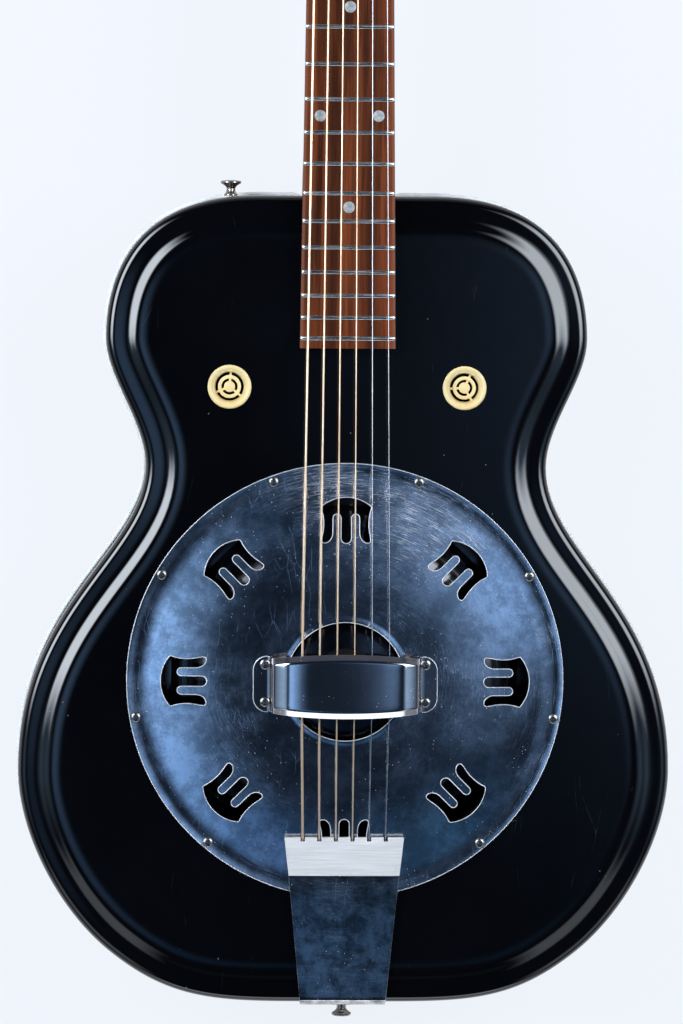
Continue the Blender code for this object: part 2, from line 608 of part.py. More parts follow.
GEAR_TOP = PLATE_LOW - GAP
GEAR_LOW = GEAR_TOP - 3.4
GEAR_STEPS = 12
for number in range(6):
    side = -1 if number < 3 else 1
    row = number if number < 3 else 5 - number
    along = POST_PITCH[row]
    gear = []
    for height in (GEAR_LOW, GEAR_TOP):
        ring = []
        for i in range(GEAR_STEPS):
            turn = 2 * math.pi * i / GEAR_STEPS
            radius = 5.4 if i % 2 else 4.7
            ring.append((radius * math.cos(turn), radius * math.sin(turn), height))
        gear.append(ring)
    for radius, height in ((3.0, GEAR_TOP + 0.01), (3.0, 3.0), (3.8, 3.4), (3.8, 8.4), (3.0, 8.8),
                           (3.0, 11.0)):
        gear.append([(radius * math.cos(2 * math.pi * i / GEAR_STEPS),
                      radius * math.sin(2 * math.pi * i / GEAR_STEPS), height)
                     for i in range(GEAR_STEPS)])
    spot = HEAD @ Matrix.Translation((side * POST_X * MM, along * MM, 0.0))
    add_object("tuner_post_%d" % (number + 1), *loft(gear), look=STEEL, place=spot)

    # Worm shaft along local z, outwards from the middle of the head.
    profile = ((1.5, -9.5), (1.5, -4.8), (2.5, -4.4), (2.5, 4.4), (1.5, 4.8), (1.5, 19.0),
               (2.6, 19.2), (2.6, 21.0), (6.4, 24.0), (8.0, 29.0), (6.4, 33.6), (3.0, 35.0))
    rings = []
    for radius, height in profile:
        flat = 0.62 if height > 21.5 else 1.0
        rings.append([(radius * flat * math.cos(2 * math.pi * i / 10),
                       radius * math.sin(2 * math.pi * i / 10), height) for i in range(10)])
    spot = (HEAD @ Matrix.Translation((side * POST_X * MM, (along + WORM_OFFSET) * MM,
                                       WORM_DEPTH * MM))
            @ Matrix.Rotation(side * math.radians(90), 4, "Y"))
    add_object("tuner_worm_%d" % (number + 1), *loft(rings), look=STEEL, smooth=True, place=spot)

# ---------------------------------------------------------------- strings
for number, radius in enumerate(STRING_RADII):
    place = number - 2.5
    side = -1 if number < 3 else 1
    row = number if number < 3 else 5 - number
    post_side = side * (POST_X - 3.8 - GAP - radius)
    lift = GAP + radius
    nut_x = place * SPREAD_NUT
    path = [(place * SPREAD_TAIL, -100.0, 88.7),
            (place * SPREAD_TAIL, -88.0, 88.7),
            (place * SPREAD_SADDLE, -1.5, SADDLE_TOP + lift),
            (place * SPREAD_SADDLE, 1.5, SADDLE_TOP + lift),
            (nut_x, SCALE, NUT_TOP + lift),
            (nut_x, SCALE + 4.5, NUT_TOP - 0.7 + lift),
            head_point(post_side, POST_PITCH[row], 6.0)]
    rings = []
    for i, point in enumerate(path):
        here = Vector(point)
        before = Vector(path[max(i - 1, 0)])
        after = Vector(path[min(i + 1, len(path) - 1)])
        along = (after - before).normalized()
        across = Vector((0, 0, 1)).cross(along).normalized()
        up = along.cross(across)
        rings.append([tuple(here + across * radius * math.cos(math.radians(60 * k))
                            + up * radius * math.sin(math.radians(60 * k))) for k in range(6)])
    look = ((0.70, 0.50, 0.28), 1.0, 0.35) if number < 4 else STEEL
    add_object("string_%d" % (number + 1), *loft(rings), look=look, smooth=True)
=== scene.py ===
"""Looks for the resonator guitar: finer pieces, procedural materials, light and camera."""
import math
import random

import bpy
from mathutils import Matrix, Vector


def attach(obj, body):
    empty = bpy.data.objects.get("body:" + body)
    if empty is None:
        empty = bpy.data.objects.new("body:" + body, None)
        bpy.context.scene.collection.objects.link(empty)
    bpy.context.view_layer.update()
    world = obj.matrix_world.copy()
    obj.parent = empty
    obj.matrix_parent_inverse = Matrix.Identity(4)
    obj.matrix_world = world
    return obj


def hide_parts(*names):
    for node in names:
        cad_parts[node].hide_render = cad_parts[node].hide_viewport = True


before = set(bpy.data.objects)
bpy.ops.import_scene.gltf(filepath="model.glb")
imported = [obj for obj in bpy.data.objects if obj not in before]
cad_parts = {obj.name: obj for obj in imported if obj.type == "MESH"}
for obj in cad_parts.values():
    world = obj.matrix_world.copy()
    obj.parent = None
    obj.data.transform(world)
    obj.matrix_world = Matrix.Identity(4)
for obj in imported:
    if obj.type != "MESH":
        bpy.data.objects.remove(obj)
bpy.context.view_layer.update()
MM = 0.001

# Sizes in mm, as in the CAD.
SCALE = 628.65
BOARD_END = 192.3
HALF_AT_NUT = 22.03
HALF_TAPER = 0.01165
BOARD_BOTTOM = 84.0
BOARD_TOP = 90.0
CAMBER = 0.7
NECK_TOP = 83.7
SADDLE_TOP = 97.0
NUT_TOP = 91.6
SPREAD_TAIL, SPREAD_SADDLE, SPREAD_NUT = 9.5, 10.0, 7.2
STRING_RADII = (0.70, 0.58, 0.46, 0.36, 0.24, 0.20)
SEAM = 41.0
FRONT = 82.0
PLATE_CENTRE = 2.0
PLATE_TOP, PLATE_FLAT, PLATE_DROP, PLATE_RIM = 86.5, 56.0, 3.0, 115.0
PLATE_RADIUS, PLATE_HOLE, PLATE_THICK = 124.9, 33.9, 1.2
WELL_HOLE = 113.5
SCREW_CIRCLE = 121.3
GROMMET_X, GROMMET_Y = 66.95, 170.0
HEAD_TILT = math.radians(8.0)
HEAD = (Matrix.Translation((0.0, 633.0 * MM, NECK_TOP * MM))
        @ Matrix.Rotation(-HEAD_TILT, 4, "X"))
HEAD_THICK = 14.0
POST_X = 20.0
POST_PITCH = (45.0, 85.0, 125.0)
POST_RADIUS = 3.8
STRING_METAL = ("wound_bronze",) * 4 + ("plain_steel",) * 2
WORM_OFFSET, WORM_DEPTH = 8.6, -18.2
BODY_TOP, BODY_LOW = 278.8, -184.9
OUTLINE = (
    (8, (0.0, BODY_TOP), (17.0, BODY_TOP), (33.0, BODY_TOP), (50.0, BODY_TOP)),
    (34, (50.0, BODY_TOP), (125.8, BODY_TOP), (137.5, 227.5), (137.5, 197.6)),
    (18, (137.5, 197.6), (137.5, 174.6), (114.6, 149.3), (114.6, 124.6)),
    (32, (114.6, 124.6), (114.6, 74.9), (187.2, 45.9), (187.2, -50.2)),
    (24, (187.2, -50.2), (187.2, -86.7), (164.4, -131.1), (135.3, -155.1)),
    (30, (135.3, -155.1), (95.7, -187.6), (67.7, BODY_LOW), (0.0, BODY_LOW)),
)


# ---------------------------------------------------------------- material nodes
class Look:
    """A Principled material with a few helpers for its nodes. Textures use object space, metres."""

    def __init__(self, name, colour, rough, metal=0.0, **sockets):
        self.mat = bpy.data.materials.new(name)
        self.mat.use_nodes = True
        self.tree = self.mat.node_tree
        self.shader = self.tree.nodes["Principled BSDF"]
        self.set(self.shader, "Base Color", (*colour, 1.0))
        self.set(self.shader, "Roughness", rough)
        self.set(self.shader, "Metallic", metal)
        for key, value in sockets.items():
            self.set(self.shader, key.replace("_", " "), value)
        self.coords = self.add("ShaderNodeTexCoord").outputs["Object"]

    def add(self, kind, **props):
        node = self.tree.nodes.new(kind)
        for key, value in props.items():
            setattr(node, key, value)
        return node

    def set(self, node, socket, value):
        if isinstance(value, bpy.types.NodeSocket):
            self.tree.links.new(value, node.inputs[socket])
        else:
            node.inputs[socket].default_value = value

    def stretched(self, scale, turn=0.0, shift=0.0):
        node = self.add("ShaderNodeMapping")
        self.set(node, "Vector", self.coords)
        node.inputs["Scale"].default_value = scale
        node.inputs["Rotation"].default_value = (0.0, 0.0, turn)
        node.inputs["Location"].default_value = (shift, shift * 0.7, 0.0)
        return node.outputs["Vector"]

    def noise(self, vector, scale=1.0, detail=3.0, rough=0.5, distortion=0.0):
        node = self.add("ShaderNodeTexNoise")
        for key, value in (("Vector", vector), ("Scale", scale), ("Detail", detail),
                           ("Roughness", rough), ("Distortion", distortion)):
            self.set(node, key, value)
        return node.outputs["Fac"]

    def cells(self, vector, scale, feature="F1"):
        node = self.add("ShaderNodeTexVoronoi", feature=feature)
        self.set(node, "Vector", vector)
        self.set(node, "Scale", scale)
        return node

    def band(self, value, low, high, to_low=0.0, to_high=1.0):
        node = self.add("ShaderNodeMapRange", interpolation_type="SMOOTHSTEP")
        for key, item in (("Value", value), ("From Min", low), ("From Max", high),
                          ("To Min", to_low), ("To Max", to_high)):
            self.set(node, key, item)
        return node.outputs["Result"]

    def math(self, operation, a, b=0.0):
        node = self.add("ShaderNodeMath", operation=operation)
        self.set(node, 0, a)
        self.set(node, 1, b)
        return node.outputs["Value"]

    def mix(self, factor, a, b):
        node = self.add("ShaderNodeMix", data_type="RGBA")
        self.set(node, "Factor", factor)
        for index, value in ((6, a), (7, b)):
            if isinstance(value, bpy.types.NodeSocket):
                self.tree.links.new(value, node.inputs[index])
            else:
                node.inputs[index].default_value = (*value, 1.0)
        return node.outputs[2]

    def bump(self, height, strength, distance, normal=None):
        node = self.add("ShaderNodeBump")
        self.set(node, "Height", height)
        self.set(node, "Strength", strength)
        self.set(node, "Distance", distance)
        if normal is not None:
            self.set(node, "Normal", normal)
        return node.outputs["Normal"]

    def hairlines(self, angles, across, along, width, rare=0.42):
        """Fine scratches: the edges of long thin cells, laid in several directions and bent."""
        total = None
        bend = self.add("ShaderNodeTexNoise")
        self.set(bend, "Vector", self.coords)
        self.set(bend, "Scale", 14.0)
        self.set(bend, "Detail", 1.0)
        shifted = self.add("ShaderNodeVectorMath", operation="MULTIPLY_ADD")
        self.tree.links.new(bend.outputs["Color"], shifted.inputs[0])
        shifted.inputs[1].default_value = (0.03, 0.03, 0.0)
        self.tree.links.new(self.coords, shifted.inputs[2])
        for i, angle in enumerate(angles):
            node = self.add("ShaderNodeMapping")
            self.tree.links.new(shifted.outputs["Vector"], node.inputs["Vector"])
            node.inputs["Rotation"].default_value = (0.0, 0.0, angle)
            node.inputs["Scale"].default_value = (across, along, 0.0)
            node.inputs["Location"].default_value = (3.1 * i, 1.7 * i, 0.5)
            cell = self.cells(node.outputs["Vector"], 1.0, "DISTANCE_TO_EDGE")
            line = self.band(cell.outputs["Distance"], 0.0, width, 1.0, 0.0)
            spread = self.noise(self.stretched((40.0, 40.0, 40.0), angle, 5.0 * i))
            fade = self.band(spread, rare, rare + 0.1)
            line = self.math("MULTIPLY", line, fade)
            total = line if total is None else self.math("MAXIMUM", total, line)
        return total


def gelcoat():
    look = Look("black_gelcoat_look", (0.001, 0.001, 0.0014), 0.05, IOR=1.5, Coat_Weight=0.25,
                Coat_Roughness=0.03)
    cell = look.cells(look.coords, 110.0)
    speck = look.band(cell.outputs["Distance"], 0.03, 0.055, 1.0, 0.0)
    some = look.band(look.noise(look.coords, 47.0, 2.0), 0.56, 0.60)
    speck = look.math("MULTIPLY", speck, some)
    haze = look.noise(look.coords, 9.0, 5.0, 0.6)
    lines = look.hairlines((0.4,), 60.0, 7.0, 0.004, 0.60)
    base = look.mix(look.band(haze, 0.35, 0.8), (0.0007, 0.0007, 0.0010), (0.0016, 0.0016, 0.0022))
    base = look.mix(look.math("MULTIPLY", lines, 0.5), base, (0.05, 0.05, 0.055))
    look.set(look.shader, "Base Color", look.mix(speck, base, (0.12, 0.12, 0.13)))
    rough = look.math("ADD", look.band(haze, 0.3, 0.8, 0.035, 0.075), look.math("MULTIPLY", speck, 0.5))
    look.set(look.shader, "Roughness", rough)
    peel = look.noise(look.coords, 70.0, 2.0)
    look.set(look.shader, "Normal", look.bump(peel, 0.04, 0.0006))
    return look.mat


def chrome(name, worn=1.0, tint=(0.70, 0.73, 0.79), cloudy=0.45):
    """Chrome with short streak marks round the resonator's axis, hair scratches, dust and pits; the streak
    marks also lighten the base colour, a painted highlight, most toward the upper right of the plate.
    """
    look = Look(name, tint, 0.08, 1.0)
    centred = look.add("ShaderNodeVectorMath", operation="SUBTRACT")
    look.set(centred, 0, look.coords)
    centred.inputs[1].default_value = (0.0, PLATE_CENTRE * MM, 0.0)
    turn = look.add("ShaderNodeTexGradient", gradient_type="RADIAL")
    look.set(turn, "Vector", centred.outputs["Vector"])
    far = look.add("ShaderNodeVectorMath", operation="LENGTH")
    look.set(far, 0, centred.outputs["Vector"])
    polar = look.add("ShaderNodeCombineXYZ")
    look.set(polar, "X", look.math("MULTIPLY", turn.outputs["Fac"], 60.0))
    look.set(polar, "Y", look.math("MULTIPLY", far.outputs["Value"], 2600.0))
    round_axis = look.band(look.noise(polar.outputs["Vector"], 1.0, 3.0, 0.65, 0.5), 0.40, 0.80)
    slanted = look.band(look.noise(look.stretched((2400.0, 60.0, 70.0), 0.35), 1.0, 3.0, 0.7), 0.44, 0.78)
    streaks_and_sheen = look.math("MAXIMUM", round_axis, look.math("MULTIPLY", slanted, 0.25))
    # Streak strength by side of the plate: strongest toward the upper right, some toward the lower left,
    # where the marks catch the lamps; this one-sided placement is a painted highlight, varied at random by
    # patches.
    split = look.add("ShaderNodeSeparateXYZ")
    look.set(split, "Vector", centred.outputs["Vector"])
    side = look.math("ADD", look.math("MULTIPLY", split.outputs["X"], 0.8),
                     look.math("MULTIPLY", split.outputs["Y"], 0.6))
    sheen_side_and_wear = look.math("ADD", look.band(side, 0.01, 0.085), look.band(side, -0.04, -0.10, 0.0, 0.35))
    patch = look.band(look.noise(look.coords, 14.0, 4.0, 0.65), 0.35, 0.7, 0.35, 1.0)
    sheen_side_and_wear = look.math("MULTIPLY", look.math("ADD", sheen_side_and_wear, 0.28), patch)
    streaks_and_sheen = look.math("MULTIPLY", streaks_and_sheen, sheen_side_and_wear)
    hairs = look.hairlines((0.5, 1.5, 2.6), 130.0, 40.0, 0.005, 0.56)
    dust = look.cells(look.coords, 420.0)
    mote = look.band(dust.outputs["Distance"], 0.07, 0.13, 1.0, 0.0)
    mote = look.math("MULTIPLY", mote, look.band(look.noise(look.coords, 60.0, 2.0), 0.48, 0.56))
    rough = look.math("ADD", look.band(patch, 0.35, 1.0, 0.06, 0.12),
                      look.math("MULTIPLY", streaks_and_sheen, 0.38 * worn))
    rough = look.math("ADD", rough, look.math("MULTIPLY", hairs, 0.15 * worn))
    look.set(look.shader, "Roughness", look.math("ADD", rough, look.math("MULTIPLY", mote, 0.35)))
    cloud = look.noise(look.coords, 55.0, 8.0, 0.76)
    base = look.mix(look.band(cloud, 0.38, 0.64), tuple(c * (1.0 - cloudy) for c in tint),
                    tuple(min(c * (1.0 + 0.3 * cloudy), 0.95) for c in tint))
    # The streak marks lighten the base colour toward pale silver: a painted highlight of scratches catching
    # the light.
    base = look.mix(look.math("MULTIPLY", streaks_and_sheen, 0.5 * worn), base, (0.90, 0.92, 0.95))
    look.set(look.shader, "Base Color", look.mix(mote, base, (0.85, 0.85, 0.85)))
    first = look.bump(look.math("MAXIMUM", hairs, streaks_and_sheen), 0.12 * worn, 0.00005)
    wave = look.noise(look.coords, 26.0, 2.0)
    look.set(look.shader, "Normal", look.bump(wave, 0.08, 0.0008, first))
    return look.mat


def brushed(name, colour, rough, metal, scale=(40.0, 2600.0, 40.0), spread=0.12):
    """Metal with a fine directional grain and some dirt."""
    look = Look(name, colour, rough, metal)
    grain = look.noise(look.stretched(scale), 1.0, 4.0, 0.7)
    stain = look.noise(look.coords, 60.0, 4.0, 0.6)
    dark = tuple(c * 0.72 for c in colour)
    base = look.mix(look.band(grain, 0.3, 0.75), dark, colour)
    base = look.mix(look.band(stain, 0.58, 0.75, 0.0, 0.35), base, tuple(c * 0.55 for c in colour))
    look.set(look.shader, "Base Color", base)
    look.set(look.shader, "Roughness", look.band(grain, 0.2, 0.8, rough - spread, rough + spread))
    look.set(look.shader, "Normal", look.bump(grain, 0.15, 0.00005))
    return look.mat


def wood(name, dark, light, rough, scale=(520.0, 14.0, 520.0), pores=0.6, coat=0.0, turn=0.0,
         edge=None):
    """Wood with lengthwise figure, fine fibre and open pores."""
    look = Look(name, light, rough, Coat_Weight=coat, Coat_Roughness=0.12, Specular_IOR_Level=0.08)
    figure = look.noise(look.stretched((scale[0] * 0.16, scale[1] * 0.35, scale[2] * 0.16), turn),
                        1.0, 4.0, 0.6, 0.8)
    fibre = look.noise(look.stretched(scale, turn), 1.0, 5.0, 0.7)
    pore = look.noise(look.stretched((scale[0] * 3.2, scale[1] * 3.0, scale[2] * 3.2), turn),
                      1.0, 2.0, 0.5)
    base = look.mix(look.band(figure, 0.36, 0.66), dark, light)
    base = look.mix(look.band(fibre, 0.35, 0.7, 0.0, 0.55), base, tuple(c * 0.6 for c in dark))
    hole = look.band(pore, 0.60, 0.72)
    base = look.mix(look.math("MULTIPLY", hole, pores), base, tuple(c * 0.25 for c in dark))
    if edge:
        split = look.add("ShaderNodeSeparateXYZ")
        look.set(split, "Vector", look.coords)
        side = look.math("ABSOLUTE", split.outputs["X"])
        taper = look.math("ADD", side, look.math("MULTIPLY", split.outputs["Y"], HALF_TAPER))
        outer = (HALF_AT_NUT + SCALE * HALF_TAPER) * MM
        base = look.mix(look.band(taper, outer - 0.0022, outer - 0.0008, 0.0, 0.8), base, edge)
    look.set(look.shader, "Base Color", base)
    look.set(look.shader, "Roughness", look.band(fibre, 0.2, 0.8, rough - 0.08, rough + 0.12))
    depth = look.math("SUBTRACT", look.math("MULTIPLY", fibre, 0.3), hole)
    look.set(look.shader, "Normal", look.bump(depth, 0.25, 0.00012))
    return look.mat


def plastic(name, colour, rough, dirt, sub=0.0, scale=60.0):
    """Moulded plastic with a little uneven colour, grime and surface texture."""
    look = Look(name, colour, rough, Subsurface_Weight=sub, Subsurface_Scale=0.002)
    soft = look.noise(look.coords, scale, 4.0, 0.6)
    fine = look.noise(look.coords, 900.0, 2.0)
    base = look.mix(look.band(soft, 0.35, 0.75), colour, dirt)
    look.set(look.shader, "Base Color", base)
    look.set(look.shader, "Roughness", look.band(soft, 0.2, 0.8, rough - 0.06, rough + 0.10))
    look.set(look.shader, "Normal", look.bump(fine, 0.08, 0.00008))
    return look.mat


def pearl():
    look = Look("pearl_look", (0.40, 0.41, 0.40), 0.22, Coat_Weight=0.5, Coat_Roughness=0.08)
    cell = look.cells(look.stretched((500.0, 260.0, 500.0), 0.6), 1.0)
    tone = look.band(look.noise(look.coords, 420.0, 3.0), 0.3, 0.7)
    base = look.mix(tone, (0.26, 0.28, 0.27), (0.46, 0.46, 0.44))
    look.set(look.shader, "Base Color", look.mix(look.math("MULTIPLY", cell.outputs["Distance"], 0.4),
                                                 base, (0.36, 0.42, 0.46)))
    look.set(look.shader, "Roughness", look.band(tone, 0.0, 1.0, 0.16, 0.32))
    return look.mat


def wound():
    look = Look("wound_string_look", (0.86, 0.66, 0.47), 0.34, 0.85)
    turns = look.add("ShaderNodeTexWave", wave_type="BANDS", bands_direction="Y")
    look.set(turns, "Vector", look.coords)
    look.set(turns, "Scale", 640.0)
    grime = look.noise(look.stretched((60.0, 25.0, 60.0)), 1.0, 3.0)
    base = look.mix(look.band(grime, 0.4, 0.75), (0.86, 0.66, 0.47), (0.70, 0.48, 0.30))
    look.set(look.shader, "Base Color", base)
    look.set(look.shader, "Roughness", look.band(grime, 0.3, 0.8, 0.28, 0.42))
    look.set(look.shader, "Normal", look.bump(turns.outputs["Fac"], 0.12, 0.00004))
    return look.mat


def spun(name, colour, rough):
    """Metal spun on a lathe: fine rings round the resonator's axis."""
    look = Look(name, colour, rough, 1.0)
    centred = look.add("ShaderNodeMapping")
    look.set(centred, "Vector", look.coords)
    centred.inputs["Location"].default_value = (0.0, -PLATE_CENTRE * MM, 0.0)
    rings = look.add("ShaderNodeTexWave", wave_type="RINGS", rings_direction="Z")
    look.set(rings, "Vector", centred.outputs["Vector"])
    look.set(rings, "Scale", 180.0)
    look.set(rings, "Distortion", 0.4)
    stain = look.noise(look.coords, 30.0, 5.0, 0.65)
    base = look.mix(look.band(stain, 0.4, 0.75), colour, tuple(c * 0.5 for c in colour))
    look.set(look.shader, "Base Color", base)
    look.set(look.shader, "Roughness", look.band(stain, 0.2, 0.8, rough - 0.04, rough + 0.08))
    look.set(look.shader, "Normal", look.bump(rings.outputs["Fac"], 0.06, 0.00005))
    return look.mat


def pale_floor():
    look = Look("floor_look", (0.05, 0.052, 0.055), 0.8, Specular_IOR_Level=0.0)
    tone = look.noise(look.coords, 2.0, 3.0)
    look.set(look.shader, "Base Color", look.mix(tone, (0.045, 0.047, 0.05), (0.055, 0.057, 0.06)))
    look.set(look.shader, "Emission Color", (0.90, 0.94, 1.0, 1.0))
    look.set(look.shader, "Emission Strength", 0.92)
    return look.mat


LOOKS = {
    "black_gelcoat": gelcoat(),
    "chrome_plate": chrome("chrome_plate_look"),
    # Pale, fairly matte metal for thin beads along edges: a painted highlight, standing in for the glint on
    # the plate's cut edges, rim and hole and on the hand rest's feet.
    "painted_highlight_edge": brushed("bright_edge_look", (0.80, 0.81, 0.83), 0.45, 0.6, (300.0, 300.0, 300.0)),
    "rest_chrome": chrome("hand_rest_chrome_look", 0.2, (0.56, 0.55, 0.57), 0.1),
    "tail_chrome": chrome("tail_chrome_look", 1.0, (0.62, 0.61, 0.62), 0.72),
    "brushed_aluminium": brushed("brushed_aluminium_look", (0.80, 0.78, 0.76), 0.5, 0.2),
    "screw_steel": brushed("screw_steel_look", (0.36, 0.34, 0.31), 0.24, 1.0, (900.0, 900.0, 900.0)),
    "plain_steel": brushed("plain_steel_look", (0.70, 0.71, 0.73), 0.24, 1.0, (900.0, 40.0, 900.0)),
    "fret_silver": brushed("fret_silver_look", (0.74, 0.74, 0.71), 0.24, 1.0, (40.0, 900.0, 900.0)),
    "worn_nickel": brushed("worn_nickel_look", (0.36, 0.335, 0.29), 0.26, 1.0, (500.0, 500.0, 500.0)),
    # The cone's spun aluminium gets a near-black colour: painted shade, for the cone lying in shade under
    # the cover plate.
    "spun_aluminium": spun("spun_aluminium_painted_shade_look", (0.055, 0.055, 0.06), 0.10),
    "rosewood": wood("rosewood_look", (0.044, 0.011, 0.004), (0.19, 0.045, 0.013), 0.5,
                     (620.0, 11.0, 620.0), 0.8, edge=(0.20, 0.075, 0.045)),
    "neck_wood": wood("neck_wood_look", (0.13, 0.045, 0.018), (0.27, 0.10, 0.042), 0.30,
                      (420.0, 10.0, 420.0), 0.5, 0.5),
    "block_wood": wood("block_wood_look", (0.42, 0.27, 0.13), (0.62, 0.44, 0.25), 0.6,
                       (300.0, 12.0, 300.0), 0.2),
    "well_wood": wood("well_wood_look", (0.05, 0.03, 0.015), (0.09, 0.055, 0.03), 0.6,
                      (60.0, 60.0, 700.0), 0.3),
    # Near-black wood, used on the biscuit although that part is maple.
    "near_black_wood": wood("ebony_look", (0.004, 0.004, 0.004), (0.012, 0.010, 0.009), 0.5,
                  (240.0, 20.0, 240.0), 0.3),
    "maple": wood("maple_look", (0.46, 0.29, 0.14), (0.62, 0.43, 0.24), 0.5, (240.0, 20.0, 240.0),
                  0.2, 0.0, 1.2),
    "cream_plastic": plastic("cream_plastic_look", (0.82, 0.66, 0.34), 0.42, (0.70, 0.52, 0.23), 0.05),
    "white_vinyl": plastic("white_vinyl_look", (0.84, 0.85, 0.85), 0.42, (0.70, 0.69, 0.64)),
    "button_plastic": plastic("button_plastic_look", (0.80, 0.74, 0.58), 0.25, (0.66, 0.57, 0.38), 0.1),
    "bone": plastic("bone_look", (0.80, 0.74, 0.60), 0.30, (0.66, 0.56, 0.38), 0.1, 200.0),
    "black_plastic": plastic("black_plastic_look", (0.012, 0.012, 0.012), 0.18, (0.03, 0.03, 0.03)),
    "wound_bronze": wound(),
    "pearl": pearl(),
}


# ---------------------------------------------------------------- mesh helpers
def outward(verts, faces):
    """The faces, turned over if they enclose a negative volume."""
    volume = 0.0
    for face in faces:
        first = Vector(verts[face[0]])
        for i in range(1, len(face) - 1):
            volume += first.dot(Vector(verts[face[i]]).cross(Vector(verts[face[i + 1]])))
    return faces if volume >= 0 else [tuple(reversed(f)) for f in faces]


def make(name, shape, look=None, sharp=38.0, place=None, closed=True):
    """A mesh object from points in mm."""
    verts, faces = shape
    mesh = bpy.data.meshes.new(name)
    mesh.from_pydata([(x * MM, y * MM, z * MM) for x, y, z in verts], [],
                     outward(verts, faces) if closed else faces)
    mesh.update()
    ob = bpy.data.objects.new(name, mesh)
    bpy.context.scene.collection.objects.link(ob)
    if look:
        mesh.materials.append(LOOKS[look])
    finish_shading(ob, sharp)
    if place is not None:
        ob.matrix_world = place
    return ob


def finish_shading(ob, sharp):
    ob.data.shade_smooth()
    ob.data.set_sharp_from_angle(angle=math.radians(sharp))


def bake(ob):
    """Applies the modifiers to the mesh."""
    bpy.context.view_layer.update()
    seen = bpy.context.evaluated_depsgraph_get()
    mesh = bpy.data.meshes.new_from_object(ob.evaluated_get(seen))
    ob.modifiers.clear()
    ob.data = mesh
    return ob


def combine(ob, other, operation, sharp=38.0):
    mod = ob.modifiers.new("combine", "BOOLEAN")
    mod.operation = operation
    mod.solver = "EXACT"
    mod.object = other
    bake(ob)
    bpy.data.objects.remove(other, do_unlink=True)
    finish_shading(ob, sharp)
    return ob


def bevel(ob, width, segments=2, angle=40.0, sharp=38.0):
    mod = ob.modifiers.new("bevel", "BEVEL")
    mod.width = width * MM
    mod.segments = segments
    mod.limit_method = "ANGLE"
    mod.angle_limit = math.radians(angle)
    bake(ob)
    finish_shading(ob, sharp)
    mod = ob.modifiers.new("weighted", "WEIGHTED_NORMAL")
    mod.keep_sharp = True
    return bake(ob)


def piece(ob, slot, nodes=(), body="guitar", look=None):
    """Puts a finished piece on its body, gives it the named look, or its slot's look when it has no
    material yet, and hides the CAD nodes it stands for.
    """
    if look or not ob.data.materials:
        ob.data.materials.clear()
        ob.data.materials.append(LOOKS[look or slot])
    if nodes:
        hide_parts(*nodes)
    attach(ob, body)
    return ob


def loft(rings, closed=False):
    """Faces between rings of equal length, capped at both ends or closed into a loop."""
    size = len(rings[0])
    verts = [p for ring in rings for p in ring]
    faces = []
    count = len(rings)
    for i in range(count if closed else count - 1):
        a = i * size
        b = ((i + 1) % count) * size
        for j in range(size):
            k = (j + 1) % size
            faces.append((a + j, a + k, b + k, b + j))
    if not closed:
        faces.append(tuple(reversed(range(size))))
        faces.append(tuple((count - 1) * size + j for j in range(size)))
    return verts, faces


def circle(radius, height, steps, flat=1.0):
    """Points round the Z axis, pressed along X by the factor flat."""
    return [(radius * flat * math.cos(2 * math.pi * i / steps),
             radius * math.sin(2 * math.pi * i / steps), height) for i in range(steps)]


def turned(profile, steps=32):
    """A solid of revolution from points (radius, height)."""
    return loft([circle(r, h, steps) for r, h in profile])


def turned_ring(profile, steps=64):
    """A ring of revolution from a closed section of points (radius, height)."""
    rings = []
    for i in range(steps):
        turn = 2 * math.pi * i / steps
        rings.append([(r * math.cos(turn), r * math.sin(turn), h) for r, h in profile])
    return loft(rings, closed=True)


def moved(shape, x=0.0, y=0.0, z=0.0):
    return [(a + x, b + y, c + z) for a, b, c in shape[0]], shape[1]


def turned_by(shape, matrix):
    return [tuple(matrix @ Vector(p)) for p in shape[0]], shape[1]


def joined(shapes):
    verts = []
    faces = []
    for points, polys in shapes:
        start = len(verts)
        verts += points
        faces += [tuple(start + i for i in f) for f in polys]
    return verts, faces


def prism(outline, low, high):
    return loft([[(x, y, low) for x, y in outline], [(x, y, high) for x, y in outline]])


def box(x0, x1, y0, y1, z0, z1):
    return prism(((x0, y0), (x1, y0), (x1, y1), (x0, y1)), z0, z1)


def spin(degrees, axis="Z"):
    return Matrix.Rotation(math.radians(degrees), 3, axis)


def arc(cx, cy, radius, start, end, steps):
    return [(cx + radius * math.cos(math.radians(start + (end - start) * i / steps)),
             cy + radius * math.sin(math.radians(start + (end - start) * i / steps)))
            for i in range(steps + 1)]


def tube(points, radius, sides=12, closed=False):
    """A round bar along a run of points, open with flat ends or closed into a loop."""
    rings = []
    count = len(points)
    for i, point in enumerate(points):
        ahead = points[(i + 1) % count if closed else min(i + 1, count - 1)]
        behind = points[i - 1 if closed else max(i - 1, 0)]
        along = (Vector(ahead) - Vector(behind)).normalized()
        across = Vector((0, 0, 1)).cross(along).normalized()
        up = along.cross(across)
        rings.append([tuple(Vector(point) + across * radius * math.cos(2 * math.pi * k / sides)
                            + up * radius * math.sin(2 * math.pi * k / sides))
                      for k in range(sides)])
    return loft(rings, closed)


def bezier(a, b, c, d, t):
    s = 1 - t
    return [s ** 3 * a[i] + 3 * s * s * t * b[i] + 3 * s * t * t * c[i] + t ** 3 * d[i]
            for i in (0, 1)]


def body_outline():
    half = []
    for steps, *curve in OUTLINE:
        half += [bezier(*curve, i / steps) for i in range(steps)]
    half.append(list(OUTLINE[-1][-1]))
    points = [(-x, y) for x, y in half] + [(x, y) for x, y in reversed(half[1:-1])]
    normals = []
    for i in range(len(points)):
        before = points[i - 1]
        after = points[(i + 1) % len(points)]
        along = Vector((after[0] - before[0], after[1] - before[1])).normalized()
        normals.append((-along.y, along.x))
    return points, normals


